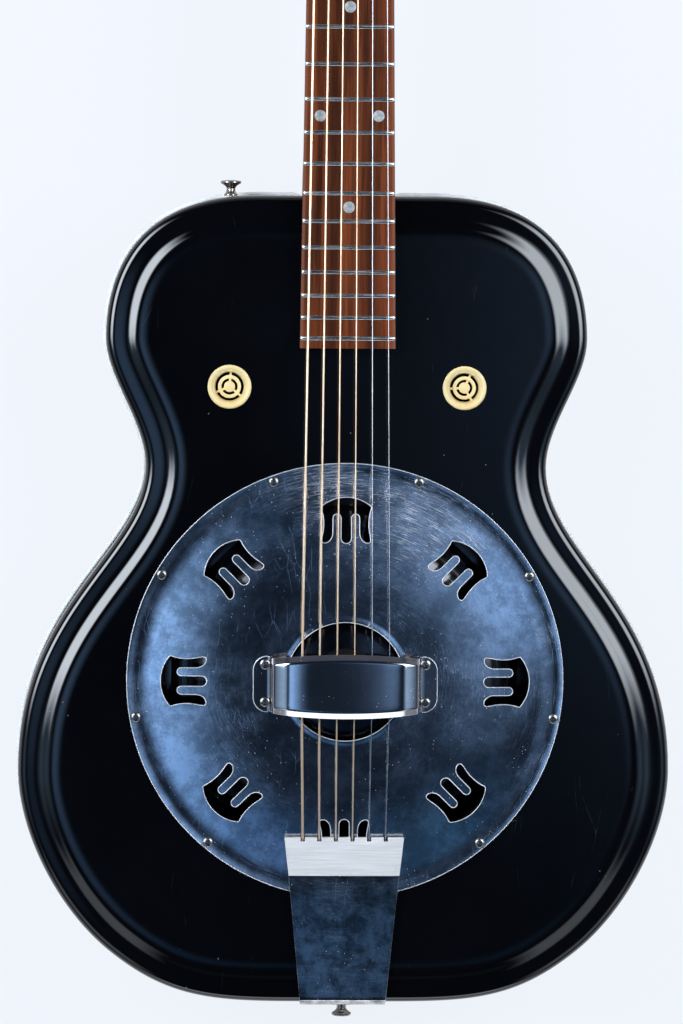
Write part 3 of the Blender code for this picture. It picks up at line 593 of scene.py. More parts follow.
EDGE_POINTS, EDGE_NORMALS = body_outline()


def edge_ring(inset, height):
    """The body's outline moved inward by inset, at a height."""
    return [(p[0] + n[0] * inset, p[1] + n[1] * inset, height)
            for p, n in zip(EDGE_POINTS, EDGE_NORMALS)]


def half_width(y):
    return HALF_AT_NUT + (SCALE - y) * HALF_TAPER


def plate_height(radius):
    part = min(max((radius - PLATE_FLAT) / (PLATE_RIM - PLATE_FLAT), 0.0), 1.0)
    return PLATE_TOP - PLATE_DROP * part * part


def on_circle(radius, degrees):
    turn = math.radians(degrees)
    return radius * math.cos(turn), PLATE_CENTRE + radius * math.sin(turn)


def head_point(x, along, out):
    return tuple(c / MM for c in HEAD @ Vector((x * MM, along * MM, out * MM)))


# ---------------------------------------------------------------- body shells
# Slope of the front in degrees against the distance in from the edge, mm.
SLOPES = ((26.0, 0.0), (24.0, 1.5), (20.0, 8.0), (17.5, 17.0), (15.4, 26.5), (13.6, 21.0),
          (11.5, 12.5), (9.0, 9.0), (5.6, 9.0), (4.4, 15.0), (3.0, 28.0), (1.6, 46.0),
          (0.7, 64.0), (0.2, 76.0), (0.0, 84.0))


def edge_profile():
    """Points (distance in, drop) from the flat front out to the side, following the slopes."""
    points = [(26.0, 0.0)]
    drop = 0.0
    for (d0, s0), (d1, s1) in zip(SLOPES, SLOPES[1:]):
        parts = 3 if d0 - d1 > 1.0 else 2
        for k in range(parts):
            mid = s0 + (s1 - s0) * (k + 0.5) / parts
            drop += (d0 - d1) / parts * math.tan(math.radians(mid))
            points.append((d0 + (d1 - d0) * (k + 1) / parts, drop))
    return points


PROFILE = edge_profile()


def shell(name, front):
    """A hollow half of the body; its edge flattens a little toward the shoulders."""
    outside = [(0.0, SEAM + 1.5), (0.0, SEAM + 2.2), (0.0, SEAM + 12.0), (0.0, 66.0)]
    outside += [(d, FRONT - drop) for d, drop in reversed(PROFILE)] + [(27.0, FRONT), (29.0, FRONT)]
    inside = [(29.0, 78.8), (23.0, 78.8), (8.0, 73.7), (3.0, 70.5), (3.0, SEAM + 1.5)]
    rings = outside + inside
    size = len(EDGE_POINTS)
    verts = []
    for i, (d, z) in enumerate(rings):
        for x, y, height in edge_ring(d, z):
            if 3 < i < len(outside):
                height = FRONT - (FRONT - height) * (1.0 - 0.14 * min(max((y - 60.0) / 80.0, 0.0), 1.0))
            verts.append((x, y, height if front else 2 * SEAM - height))
    faces = []
    for i in range(len(rings)):
        if i == len(outside) - 1:
            continue
        a = i * size
        b = ((i + 1) % len(rings)) * size
        faces += [(a + j, a + (j + 1) % size, b + (j + 1) % size, b + j) for j in range(size)]
    last = (len(outside) - 1) * size
    faces.append(tuple(last + j for j in range(size)))
    faces.append(tuple(last + size + j for j in reversed(range(size))))
    return make(name, (verts, faces), "black_gelcoat", 50.0)


front = shell("front_body", True)
holes = [moved(turned(((WELL_HOLE, 70.0), (WELL_HOLE, 90.0)), 128), y=PLATE_CENTRE)]
for side in (-1, 1):
    holes.append(moved(turned(((9.3, 70.0), (9.3, 90.0)), 40), side * GROMMET_X, GROMMET_Y))
combine(front, make("holes", joined(holes)), "DIFFERENCE", 50.0)
piece(front, "black_gelcoat", ["front_shell"])
piece(shell("back_body", False), "black_gelcoat", ["back_shell"])

bead = [(3.0, -1.2), (0.3, -1.2), (-0.25, -1.9), (-0.7, -2.2), (-1.4, -2.1), (-2.1, -1.4),
        (-2.4, -0.6), (-2.4, 0.6), (-2.1, 1.4), (-1.4, 2.1), (-0.7, 2.2), (-0.25, 1.9),
        (0.3, 1.2), (3.0, 1.2)]
gasket_rings = []
for inset, rise in bead:
    out = min(max((-inset - 0.3) / 2.1, 0.0), 1.0)
    ring = []
    for x, y, z in edge_ring(inset, SEAM + rise):
        if abs(x) < 29.0 and y > 250.0:
            y = min(y, BODY_TOP + 0.05 + 0.17 * out)
        ring.append((x, y, z))
    gasket_rings.append(ring)
piece(make("gasket_bead", loft(gasket_rings, closed=True), sharp=60.0), "white_vinyl", ["edge_gasket"])

# ---------------------------------------------------------------- resonator
cone_profile = []
height = 82.8
for i in range(49):
    part = i / 48
    radius = 28.0 + 72.4 * part
    ripple = 0.06 * math.sin(part * 2 * math.pi * 9) if 0.04 < part < 0.96 else 0.0
    cone_profile.append((radius, height + ripple))
    height -= 72.4 / 48 * (0.34 if 46.0 < radius < 84.0 else 0.20)
cone_low = [(r, z - 0.9) for r, z in cone_profile]
cone_section = ([(1.9, 81.9)] + cone_low + [(106.0, 61.9), (106.0, 63.0)]
                + list(reversed(cone_profile)) + [(1.9, 82.8)])
# The cone takes the near-black aluminium look: painted shade.
piece(make("cone_spun", moved(turned_ring(cone_section, 96), y=PLATE_CENTRE), sharp=30.0),
      "spun_aluminium", ["cone"])
biscuit = make("biscuit_disc", moved(turned(((19.0, 83.1), (19.0, 92.0)), 64), y=PLATE_CENTRE))
combine(biscuit, make("slot", box(-40.0, 40.0, -1.8, 1.8, 89.0, 99.0)), "DIFFERENCE")
# The maple biscuit is given the near-black wood look.
piece(bevel(biscuit, 0.6), "maple", ["biscuit"], look="near_black_wood")
top = [(30.0, 95.4), (26.0, 96.2), (18.0, 96.8), (0.0, SADDLE_TOP), (-18.0, 96.8), (-26.0, 96.2),
       (-30.0, 95.4)]
side = [(-29.0, 92.3), (-18.6, 89.3), (18.6, 89.3), (29.0, 92.3)] + top
saddle = make("saddle_bar", loft([[(x, 1.5, z) for x, z in side], [(x, -1.5, z) for x, z in side]]))
piece(bevel(saddle, 0.35), "maple", ["saddle"])


# ---------------------------------------------------------------- cover plate
def window_outline():
    """One window pointing along +X, as half outlines mirrored: slot, tongue, arm, side, arc."""
    upper = arc(82.1, 0.0, 2.97, 180.0, 90.0, 8)
    upper += arc(93.6, 5.3, 2.33, -90.0, 90.0, 12)
    upper += [(88.0, 7.63), (85.4, 7.66)]
    for i in range(1, 9):
        turn = math.radians(90.0 * i / 8)
        upper.append((85.4 - 6.0 * math.sin(turn), 12.2 - 4.54 * math.cos(turn)))
    upper += [(79.5, 13.0), (80.0, 13.7), (80.9, 13.98)]
    upper += [(83.0, 13.75), (86.0, 13.15), (89.0, 12.85), (92.0, 12.85), (95.0, 13.2),
              (97.6, 13.8), (99.2, 14.35), (99.7, 14.3)]
    tip = math.degrees(math.asin(14.2 / 21.9))
    upper += arc(83.6, 0.0, 21.9, tip, 0.0, 10)
    lower = [(x, -y) for x, y in reversed(upper[1:-1])]
    return list(reversed(lower + upper))


radii = [PLATE_HOLE + 0.5, 38.0, 46.0, PLATE_FLAT, 60.0, 65.0, 71.0, 78.0, 85.0, 92.0, 99.0, 106.0,
         111.0, PLATE_RIM, 119.0, 123.2]
plate_top = [(r, plate_height(r)) for r in radii]
plate_low = [(r, z - PLATE_THICK) for r, z in plate_top]
rim_top = plate_height(PLATE_RIM)
section = ([(PLATE_HOLE, PLATE_TOP - PLATE_THICK)] + plate_low
           + [(124.6, rim_top - PLATE_THICK), (PLATE_RADIUS, rim_top - 0.9),
              (PLATE_RADIUS, rim_top - 0.1), (124.6, rim_top + 0.22), (124.1, rim_top + 0.18)]
           + list(reversed(plate_top)) + [(PLATE_HOLE + 0.1, PLATE_TOP + 0.15),
                                          (PLATE_HOLE - 0.1, PLATE_TOP - 0.1)])
plate = make("cover_plate", moved(turned_ring(section, 192), y=PLATE_CENTRE), sharp=40.0)
outline = window_outline()
windows = [moved(turned_by(prism(outline, 70.0, 100.0), spin(45 * i)), y=PLATE_CENTRE)
           for i in range(8)]
combine(plate, make("windows", joined(windows)), "DIFFERENCE", 40.0)
piece(plate, "chrome_plate", ["coverplate"])
# A thin bead round each window in the pale edge look: a painted highlight of the window's bright cut edge.
for i in range(8):
    run = [turned_by(([(x, y, 0.0)], []), spin(45 * i))[0][0] for x, y in outline]
    lip = [(x, y + PLATE_CENTRE, plate_height(math.hypot(x, y)) + 0.02) for x, y, z in run]
    piece(make("window_lip_%d" % (i + 1), tube(lip, 0.26, 8, True), sharp=80.0), "chrome_plate",
          look="painted_highlight_edge")


# Beads round the plate's rim and centre hole in the pale edge look: a painted highlight.
for name, radius, height in (("plate_rim_edge", 124.75, rim_top + 0.05),
                             ("plate_hole_edge", PLATE_HOLE + 0.1, PLATE_TOP + 0.05)):
    ring = [on_circle(radius, 2.0 * i) + (height,) for i in range(180)]
    piece(make(name, tube(ring, 0.28, 8, True), sharp=80.0), "chrome_plate", look="painted_highlight_edge")


# ---------------------------------------------------------------- fasteners
def screw_head(radius, height, cross=True):
    """An oval head with a cross recess, standing on z = 0, with a short shank below."""
    profile = [(radius * 0.45, -3.0), (radius * 0.45, 0.0), (radius - 0.15, 0.0), (radius, 0.15),
               (radius, height * 0.35)]
    for i in range(1, 6):
        turn = math.radians(90.0 * i / 6)
        profile.append((radius * math.cos(turn), height * (0.35 + 0.65 * math.sin(turn))))
    ob = make("screw", turned(profile, 28), "screw_steel", 30.0)
    if cross:
        arm, width = radius * 0.62, radius * 0.13
        for a, b in ((arm, width), (width, arm)):
            cut = make("cut", box(-a, a, -b, b, height * 0.25, 5.0))
            combine(ob, cut, "DIFFERENCE", 30.0)
    mesh = ob.data
    bpy.data.objects.remove(ob, do_unlink=True)
    return mesh


def place_screw(mesh, name, spot, slot, nodes, tilt=None):
    ob = bpy.data.objects.new(name, mesh.copy())
    bpy.context.scene.collection.objects.link(ob)
    turn = Matrix.Rotation(RANDOM.uniform(0.0, 1.57), 4, "Z")
    base = tilt if tilt is not None else Matrix.Identity(4)
    ob.matrix_world = Matrix.Translation(Vector(spot) * MM) @ base @ turn
    return piece(ob, slot, nodes)


RANDOM = random.Random(7)
plate_head = screw_head(2.8, 1.5)
rivet_head = screw_head(2.9, 1.4, False)
for i in range(9):
    x, y = on_circle(SCREW_CIRCLE, 30.0 + 40.0 * i)
    place_screw(plate_head, "cover_screw_%d" % (i + 1), (x, y, rim_top + 0.3), "screw_steel",
                ["plate_screw_%d" % (i + 1)])
REST_FOOT = PLATE_TOP + 0.9
REST_Y = PLATE_CENTRE - 1.3
spots = [(sx * 45.9, REST_Y + 0.6 + sy * 10.8) for sx in (-1, 1) for sy in (-1, 1)]
for i, (x, y) in enumerate(spots):
    place_screw(plate_head if i % 2 == 0 else rivet_head, "rest_fixing_%d" % (i + 1),
                (x, y, REST_FOOT + 0.9), "screw_steel", ["rest_rivet_%d" % (i + 1)])
tail_head = screw_head(2.15, 1.1)
TAIL_FACE = 186.7
facing = Matrix.Rotation(math.radians(90.0), 4, "X")
for i, x in enumerate((-14.0, 14.0)):
    place_screw(tail_head, "tail_fixing_%d" % (i + 1), (x, -TAIL_FACE, 67.0), "screw_steel",
                ["tail_screw_%d" % (i + 1)], facing)


# ---------------------------------------------------------------- hand rest
def rest_path():
    """Mid surface from the outer foot edge to the middle: x, height, roll of the long edges."""
    run = [(52.5, 0.0), (52.2, 0.0), (51.6, 0.0), (50.6, 0.0), (49.2, 0.0), (47.4, 0.0),
           (45.6, 0.0), (44.2, 0.0)]
    run += [(43.5, 0.15), (42.8, 0.6), (42.25, 1.3), (42.0, 2.2), (41.7, 6.2), (41.4, 10.3),
            (41.15, 11.1), (40.6, 11.7), (39.6, 12.3), (38.4, 12.95), (37.2, 13.55), (36.0, 14.1),
            (34.8, 14.6), (33.8, 14.98), (32.8, 15.26), (31.5, 15.5), (29.0, 15.8), (25.0, 16.1),
            (20.0, 16.3), (14.0, 16.42), (7.0, 16.5), (0.0, 16.5)]
    return run


def wide_at(far):
    """Half the width of the rest at a distance from its middle."""
    if far > 44.5:
        return 7.9 + 8.0 * math.sqrt(max(1 - ((far - 44.5) / 8.02) ** 2, 0.0))
    if far > 41.0:
        return 15.5 + 0.4 * (far - 41.0) / 3.5
    return 18.0 - 2.5 * (far / 41.0) ** 2


half_run = rest_path()
run = half_run + [(-x, h) for x, h in reversed(half_run[:-1])]
HALF_COLUMNS = (0.3, 0.6, 0.74, 0.78, 0.80, 0.82, 0.84, 0.87, 0.93, 0.98, 1.0)
COLUMNS = [-c for c in reversed(HALF_COLUMNS)] + [0.0] + list(HALF_COLUMNS)
verts = []
for x, height in run:
    width = wide_at(abs(x))
    roll = min(max((height - 3.0) / 11.0, 0.0), 1.0)
    for part in COLUMNS:
        reach = max(abs(part) * width - (width - 4.0), 0.0)
        drop = 0.44 * reach * reach if reach < 0.8 else 0.70 * (reach - 0.4)
        verts.append((x, REST_Y + part * width, REST_FOOT + height - drop * roll))
n = len(COLUMNS)
faces = [(i * n + j, i * n + j + 1, (i + 1) * n + j + 1, (i + 1) * n + j)
         for i in range(len(run) - 1) for j in range(n - 1)]
rest = make("hand_rest_sheet", (verts, faces), sharp=60.0, closed=False)
thick = rest.modifiers.new("sheet", "SOLIDIFY")
thick.thickness = 1.2 * MM
thick.offset = 0.0
thick.use_even_offset = True
bake(rest)
bevel(rest, 0.4, 3, 60.0, 60.0)
piece(rest, "chrome_plate", ["hand_rest"], look="rest_chrome")
# Beads round the hand rest's feet in the pale edge look: a painted highlight along their outline.
for side in (-1, 1):
    trim = [(side * x, REST_Y - wide_at(x), REST_FOOT + 0.55) for x, h in half_run[7::-1]]
    trim += [(side * x, REST_Y + wide_at(x), REST_FOOT + 0.55) for x, h in half_run[:8]]
    piece(make("rest_highlight_bead_%s" % ("left" if side < 0 else "right"), tube(trim, 0.24, 8), sharp=80.0),
          "chrome_plate", look="painted_highlight_edge")

# ---------------------------------------------------------------- tailpiece
line = [(-87.6, 87.5, 33.0), (-92.0, 87.5, 32.8), (-109.0, 87.5, 31.8), (-125.0, 87.3, 30.2),
        (-150.0, 85.54, 27.8), (-180.0, 83.43, 24.95)]
line += [(-181.6, 83.27, 24.85), (-182.3, 83.05, 24.8), (-182.8, 82.7, 24.75), (-183.4, 82.1, 24.7),
         (-184.3, 81.0, 24.65), (-185.1, 79.6, 24.6), (-185.8, 77.8, 24.5), (-186.2, 75.6, 24.4),
         (-186.4, 73.0, 24.2)]
line += [(-186.4, 70.0, 24.0), (-186.4, 60.0, 23.3), (-186.4, 45.5, 22.2)]
rings = []
for i, (y, z, half) in enumerate(line):
    before = line[max(i - 1, 0)]
    after = line[min(i + 1, len(line) - 1)]
    along = Vector((after[0] - before[0], after[1] - before[1])).normalized()
    low = (y - along.y * 1.2, z + along.x * 1.2)
    rings.append([(-half, y, z), (half, y, z), (half, low[0], low[1]), (-half, low[0], low[1])])
tail = make("tail_sheet", loft(rings), sharp=50.0)
bevel(tail, 0.25, 2, 50.0, 50.0)
piece(tail, "chrome_plate", ["tail_plate"], look="tail_chrome")
clamp = make("clamp", prism(((-34.2, -87.0), (-31.7, -109.0), (31.7, -109.0), (34.2, -87.0)),
                            87.8, 91.3))
combine(clamp, make("hollow", prism(((-32.6, -88.6), (-30.4, -107.5), (30.4, -107.5),
                                     (32.6, -88.6)), 80.0, 90.1)), "DIFFERENCE")
notches = []
for i in range(6):
    x = (i - 2.5) * SPREAD_TAIL
    notches.append(box(x - 1.2, x + 1.2, -89.2, -80.0, 80.0, 95.0))
combine(clamp, make("notches", joined(notches)), "DIFFERENCE")
bevel(clamp, 0.3, 2)
piece(clamp, "brushed_aluminium", ["tail_clamp"])


def button_profile(base, neck, head, flange, height):
    """A turned button: a base, a smoothly waisted neck, and a rounded head."""
    profile = [(1.0, -2.0), (1.0, 0.0), (base - 0.3, 0.0), (base, 0.25), (base, 0.8)]
    for i in range(1, 12):
        part = i / 12
        end = base - 0.2 if part < 0.5 else head - 0.5
        profile.append((neck + (end - neck) * abs(2 * part - 1) ** 2.2,
                        0.8 + (height - 2.9) * part))
    return profile + [(head - 0.25, height - 2.0), (head, height - 1.6), (head, height - 1.0),
                      (head - 0.4, height - 0.5), (flange * 0.7, height - 0.15), (1.2, height)]


pin = moved(turned(button_profile(4.3, 2.7, 5.65, 4.2, 9.2), 48), z=TAIL_FACE)
piece(make("end_button", moved(turned_by(pin, spin(90, "X")), z=58.0), sharp=30.0), "worn_nickel",
      ["end_pin"])
strap = moved(turned(button_profile(4.0, 2.5, 5.95, 4.6, 9.0), 48), z=BODY_TOP - 0.15)
strap = moved(turned_by(strap, spin(-90, "X")), -66.7, 0.0, 58.0)
piece(make("shoulder_button", strap, sharp=30.0), "worn_nickel", ["strap_button"])

# ---------------------------------------------------------------- sound hole screens
section = [(8.0, 76.5), (9.0, 76.5), (9.0, 82.3), (12.2, 82.3), (12.45, 82.6), (12.5, 83.0),
           (12.3, 83.5), (11.8, 83.8), (11.2, 83.75), (10.3, 83.35), (9.6, 82.7), (9.0, 81.6), (8.55, 80.3),
           (8.2, 79.0)]
for name, side, first in (("left", -1, 85.0), ("right", 1, 65.0)):
    ob = make("screen_" + name, turned_ring(section, 64), sharp=40.0)
    ring = turned_ring(((4.6, 78.4), (6.6, 78.4), (6.6, 80.0), (6.3, 80.25), (4.9, 80.25),
                        (4.6, 80.0)), 40)
    hub = turned(((3.2, 78.4), (3.2, 79.9), (2.9, 80.25), (1.5, 80.4)), 32)
    combine(ob, make("ring", ring), "UNION", 40.0)
    combine(ob, make("hub", hub), "UNION", 40.0)
    for i in range(3):
        spoke = turned_by(box(2.4, 8.5, -0.65, 0.65, 78.6, 79.8), spin(first + 118.0 * i))
        combine(ob, make("spoke", spoke), "UNION", 40.0)
    ob.matrix_world = Matrix.Translation((side * GROMMET_X * MM, GROMMET_Y * MM, 0.0))
    piece(ob, "cream_plastic", ["grommet_" + name])


# ---------------------------------------------------------------- neck
def neck_ring(y, half, depth, square):
    ring = [(half - 0.5, y, NECK_TOP), (-half + 0.5, y, NECK_TOP), (-half, y, NECK_TOP - 0.5)]
    steps = 20
    for i in range(1, steps):
        turn = math.pi * i / steps
        power = 1.0 - 0.55 * square
        cos = math.copysign(abs(math.cos(turn)) ** power, math.cos(turn))
        sin = math.sin(turn) ** power
        ring.append((-half * cos, y, NECK_TOP - 1.5 - (depth - 1.5) * sin))
    return ring + [(half, y, NECK_TOP - 0.5)]


HEEL = BODY_TOP + 0.4
NECK_LINE = ((0.0, 70.0, 0.9), (10.0, 68.5, 0.85), (19.0, 56.0, 0.6), (27.0, 38.0, 0.3),
             (37.0, 27.0, 0.1), (52.0, 23.0, 0.0), (180.8, 21.5, 0.0), (320.8, 19.5, 0.0),
             (342.8, 19.5, 0.1), (356.8, 18.0, 0.4))


def eased(position):
    """Depth and squareness along the neck, smooth through the CAD's stations."""
    for i in range(len(NECK_LINE) - 1):
        y0, d0, s0 = NECK_LINE[i]
        y1, d1, s1 = NECK_LINE[i + 1]
        if position <= y1:
            break
    t = (position - y0) / (y1 - y0)
    before = NECK_LINE[max(i - 1, 0)]
    after = NECK_LINE[min(i + 2, len(NECK_LINE) - 1)]
    out = []
    for k, (a, b) in enumerate(((d0, d1), (s0, s1)), start=1):
        ta = (b - before[k]) / (y1 - before[0]) * (y1 - y0) if i else b - a
        tb = (after[k] - a) / (after[0] - y0) * (y1 - y0) if i < len(NECK_LINE) - 2 else b - a
        out.append((2 * t ** 3 - 3 * t * t + 1) * a + (t ** 3 - 2 * t * t + t) * ta
                   + (3 * t * t - 2 * t ** 3) * b + (t ** 3 - t * t) * tb)
    return out[0], min(max(out[1], 0.0), 1.0)


stops = [i * 2.5 for i in range(22)] + [60.0, 80.0, 110.0, 150.0, 200.0, 250.0, 300.0, 320.0, 331.0,
                                       342.4, 346.0, 351.0, 356.8]
rings = []
for stop in stops:
    y = HEEL + stop
    depth, square = eased(stop)
    wide = 0.4 * max(y - 622.0, 0.0)
    rings.append(neck_ring(y, half_width(y) + wide, depth, square))
neck = make("neck_carved", loft(rings), sharp=45.0)
head_right = [(25.0, 0.0), (25.6, 6.0), (27.0, 14.0), (30.5, 24.0), (33.6, 34.0), (35.2, 46.0),
              (36.0, 60.0), (37.0, 100.0), (38.0, 150.0), (38.1, 158.0), (37.4, 163.5),
              (35.8, 167.5), (33.0, 170.0), (29.0, 171.5), (24.0, 172.0), (16.0, 171.4),
              (8.0, 170.3), (0.0, 170.0)]
head_line = head_right + [(-w, a) for w, a in reversed(head_right[:-1])]
head = make("head", prism(head_line, -HEAD_THICK, 0.0), place=HEAD)
bevel(head, 1.1, 3, 50.0)
combine(neck, head, "UNION", 45.0)
tongue = prism(((-half_width(194.3), 194.3), (half_width(194.3), 194.3), (half_width(300.0) - 0.2,
                300.0), (0.2 - half_width(300.0), 300.0)), FRONT + 0.3, NECK_TOP - 0.05)
combine(neck, make("tongue", tongue), "UNION", 45.0)
bores = [moved(turned(((3.5, -20.0), (3.5, 6.0)), 24), s * POST_X, a)
         for s in (-1, 1) for a in POST_PITCH]
combine(neck, make("bores", joined(bores), place=HEAD), "DIFFERENCE", 45.0)
piece(neck, "neck_wood", ["neck"])


# ---------------------------------------------------------------- fretboard
def crown(part):
    """Height of the cambered board at a part of its half width."""
    return BOARD_TOP - CAMBER * abs(part) ** 2


rings = []
for y in (SCALE - 0.3, 560.0, 480.0, 400.0, 320.0, 250.0, 220.0, BOARD_END):
    half = half_width(y)
    ring = [(-half, y, BOARD_BOTTOM), (-half, y, crown(1) - 0.35),
            (-half + 0.35, y, crown(0.99))]
    ring += [(half * p, y, crown(p)) for p in (-0.8, -0.6, -0.4, -0.2, 0.0, 0.2, 0.4, 0.6, 0.8)]
    ring += [(half - 0.35, y, crown(0.99)), (half, y, crown(1) - 0.35),
             (half, y, BOARD_BOTTOM)]
    rings.append(ring)
piece(make("board", loft(rings), sharp=30.0), "rosewood", ["fretboard"])
for fret in range(1, 21):
    y = SCALE * 2 ** (-fret / 12)
    half = half_width(y) + 0.05
    rings = []
    for part in (-1.0, -0.985, -0.95, -0.8, -0.6, -0.4, -0.2, 0.0, 0.2, 0.4, 0.6, 0.8, 0.95, 0.985, 1.0):
        end = min(max((1.0 - abs(part)) / 0.05, 0.0), 1.0)
        rise = 1.1 * (0.25 + 0.75 * math.sqrt(end))
        base = crown(part) - 0.3
        ring = [(part * half, y - 1.3, base)]
        for k in range(9):
            turn = math.radians(180.0 - 22.5 * k)
            ring.append((part * half, y + 1.3 * math.cos(turn),
                         base + 0.3 + rise * math.sin(turn) ** 0.8 if 0 < k < 8 else base + 0.3))
        ring.append((part * half, y + 1.3, base))
        rings.append(ring)
    piece(make("fret_%02d" % fret, loft(rings), sharp=50.0), "plain_steel", look="fret_silver")
marks = [(3, 0), (5, 0), (7, 0), (9, 0), (12, -16.5), (12, 16.5), (15, 0)]
for i, (fret, x) in enumerate(marks):
    y = SCALE * (2 ** (-fret / 12) + 2 ** (-(fret - 1) / 12)) / 2
    dot = make("dot_%d" % (i + 1), moved(turned(((3.25, -0.6), (3.25, 0.03), (3.15, 0.06)), 40)))
    lean = math.atan(2 * CAMBER * x / half_width(y) ** 2)
    dot.matrix_world = (Matrix.Translation(Vector((x, y, crown(x / half_width(y)))) * MM)
                        @ Matrix.Rotation(lean, 4, "Y"))
    piece(dot, "bone", look="pearl")

nut = make("nut_bar", loft([[(x, SCALE, BOARD_BOTTOM), (x, SCALE + 4.5, BOARD_BOTTOM),
                             (x, SCALE + 4.5, NUT_TOP - 1.2), (x, SCALE + 3.0, NUT_TOP - 0.5),
                             (x, SCALE, NUT_TOP + 0.2)] for x in (-HALF_AT_NUT, HALF_AT_NUT)]))
slots = []
for i, radius in enumerate(STRING_RADII):
    x = (i - 2.5) * SPREAD_NUT
    slots.append(box(x - radius - 0.1, x + radius + 0.1, SCALE - 2, SCALE + 6, NUT_TOP - 0.9, 99.0))
combine(nut, make("slots", joined(slots)), "DIFFERENCE")
piece(nut, "bone", ["nut"])
cover_line = (arc(-9.5, 10.5, 1.5, 180, 270, 5) + arc(9.5, 10.5, 1.5, 270, 360, 5)
              + [(10.6, 14.0), (9.2, 20.0), (7.4, 26.0), (5.4, 31.0), (3.4, 34.2), (1.6, 35.7)]
              + [(0.0, 36.1)] + [(-1.6, 35.7), (-3.4, 34.2), (-5.4, 31.0), (-7.4, 26.0),
                                 (-9.2, 20.0), (-10.6, 14.0)])
cover = make("rod_cover", prism(cover_line, 0.3, 1.8), place=HEAD)
piece(bevel(cover, 0.4, 2), "black_plastic", ["truss_cover"])
small_head = screw_head(1.5, 0.8)


def head_screw(name, x, along, out, flip=False):
    ob = bpy.data.objects.new(name, small_head.copy())
    bpy.context.scene.collection.objects.link(ob)
    spot = Matrix.Translation((x * MM, along * MM, out * MM))
    back = Matrix.Rotation(math.pi, 4, "Y") if flip else Matrix.Identity(4)
    ob.matrix_world = HEAD @ spot @ back @ Matrix.Rotation(RANDOM.uniform(0, 1.5), 4, "Z")
    piece(ob, "plain_steel", look="screw_steel")


for i, (x, along) in enumerate(((-8.0, 12.0), (8.0, 12.0), (0.0, 32.5))):
    head_screw("rod_cover_screw_%d" % (i + 1), x, along, 1.8)

# ---------------------------------------------------------------- tuners
PLATE_LOW = -HEAD_THICK - 1.5
for name, side in (("left", -1), ("right", 1)):
    mid = side * POST_X
    corner = []
    for cx, cy, start in ((mid + 6.5, 32.0, 270), (mid + 6.5, 148.0, 0), (mid - 6.5, 148.0, 90),
                          (mid - 6.5, 32.0, 180)):
        corner += arc(cx, cy, 2.0, start, start + 90, 5)
    strip = make("tuner_strip_" + name, prism(corner, PLATE_LOW, -HEAD_THICK - 0.3), place=HEAD)
    holes = [moved(turned(((3.5, -20.0), (3.5, 6.0)), 24), mid, a) for a in POST_PITCH]
    combine(strip, make("holes", joined(holes), place=HEAD), "DIFFERENCE")
    bevel(strip, 0.25, 2)
    for along in POST_PITCH:
        worm = along + WORM_OFFSET
        for x in (mid - 7.6, mid + 7.6):
            lug_line = [(3.2, PLATE_LOW + 0.3), (3.2, WORM_DEPTH)]
            lug_line += [(3.0 * math.cos(math.radians(a)), WORM_DEPTH + 3.0 * math.sin(math.radians(a)))
                         for a in range(0, -181, -20)]
            lug_line += [(-3.2, WORM_DEPTH), (-3.2, PLATE_LOW + 0.3)]
            lug = loft([[(x - 0.8, worm + u, v) for u, v in lug_line],
                        [(x + 0.8, worm + u, v) for u, v in lug_line]])
            lug = make("lug", lug, place=HEAD)
            bore = turned_by(turned(((1.9, -2.0), (1.9, 2.0)), 20), spin(90, "Y"))
            combine(lug, make("bore", moved(bore, x, worm, WORM_DEPTH), place=HEAD), "DIFFERENCE")
            combine(strip, lug, "UNION")
    piece(strip, "worn_nickel", ["tuner_plate_" + name])
    for i, along in enumerate((34.5, 66.0, 106.0, 145.5)):
        head_screw("strip_screw_%s_%d" % (name, i + 1), mid, along, PLATE_LOW - 0.05, True)

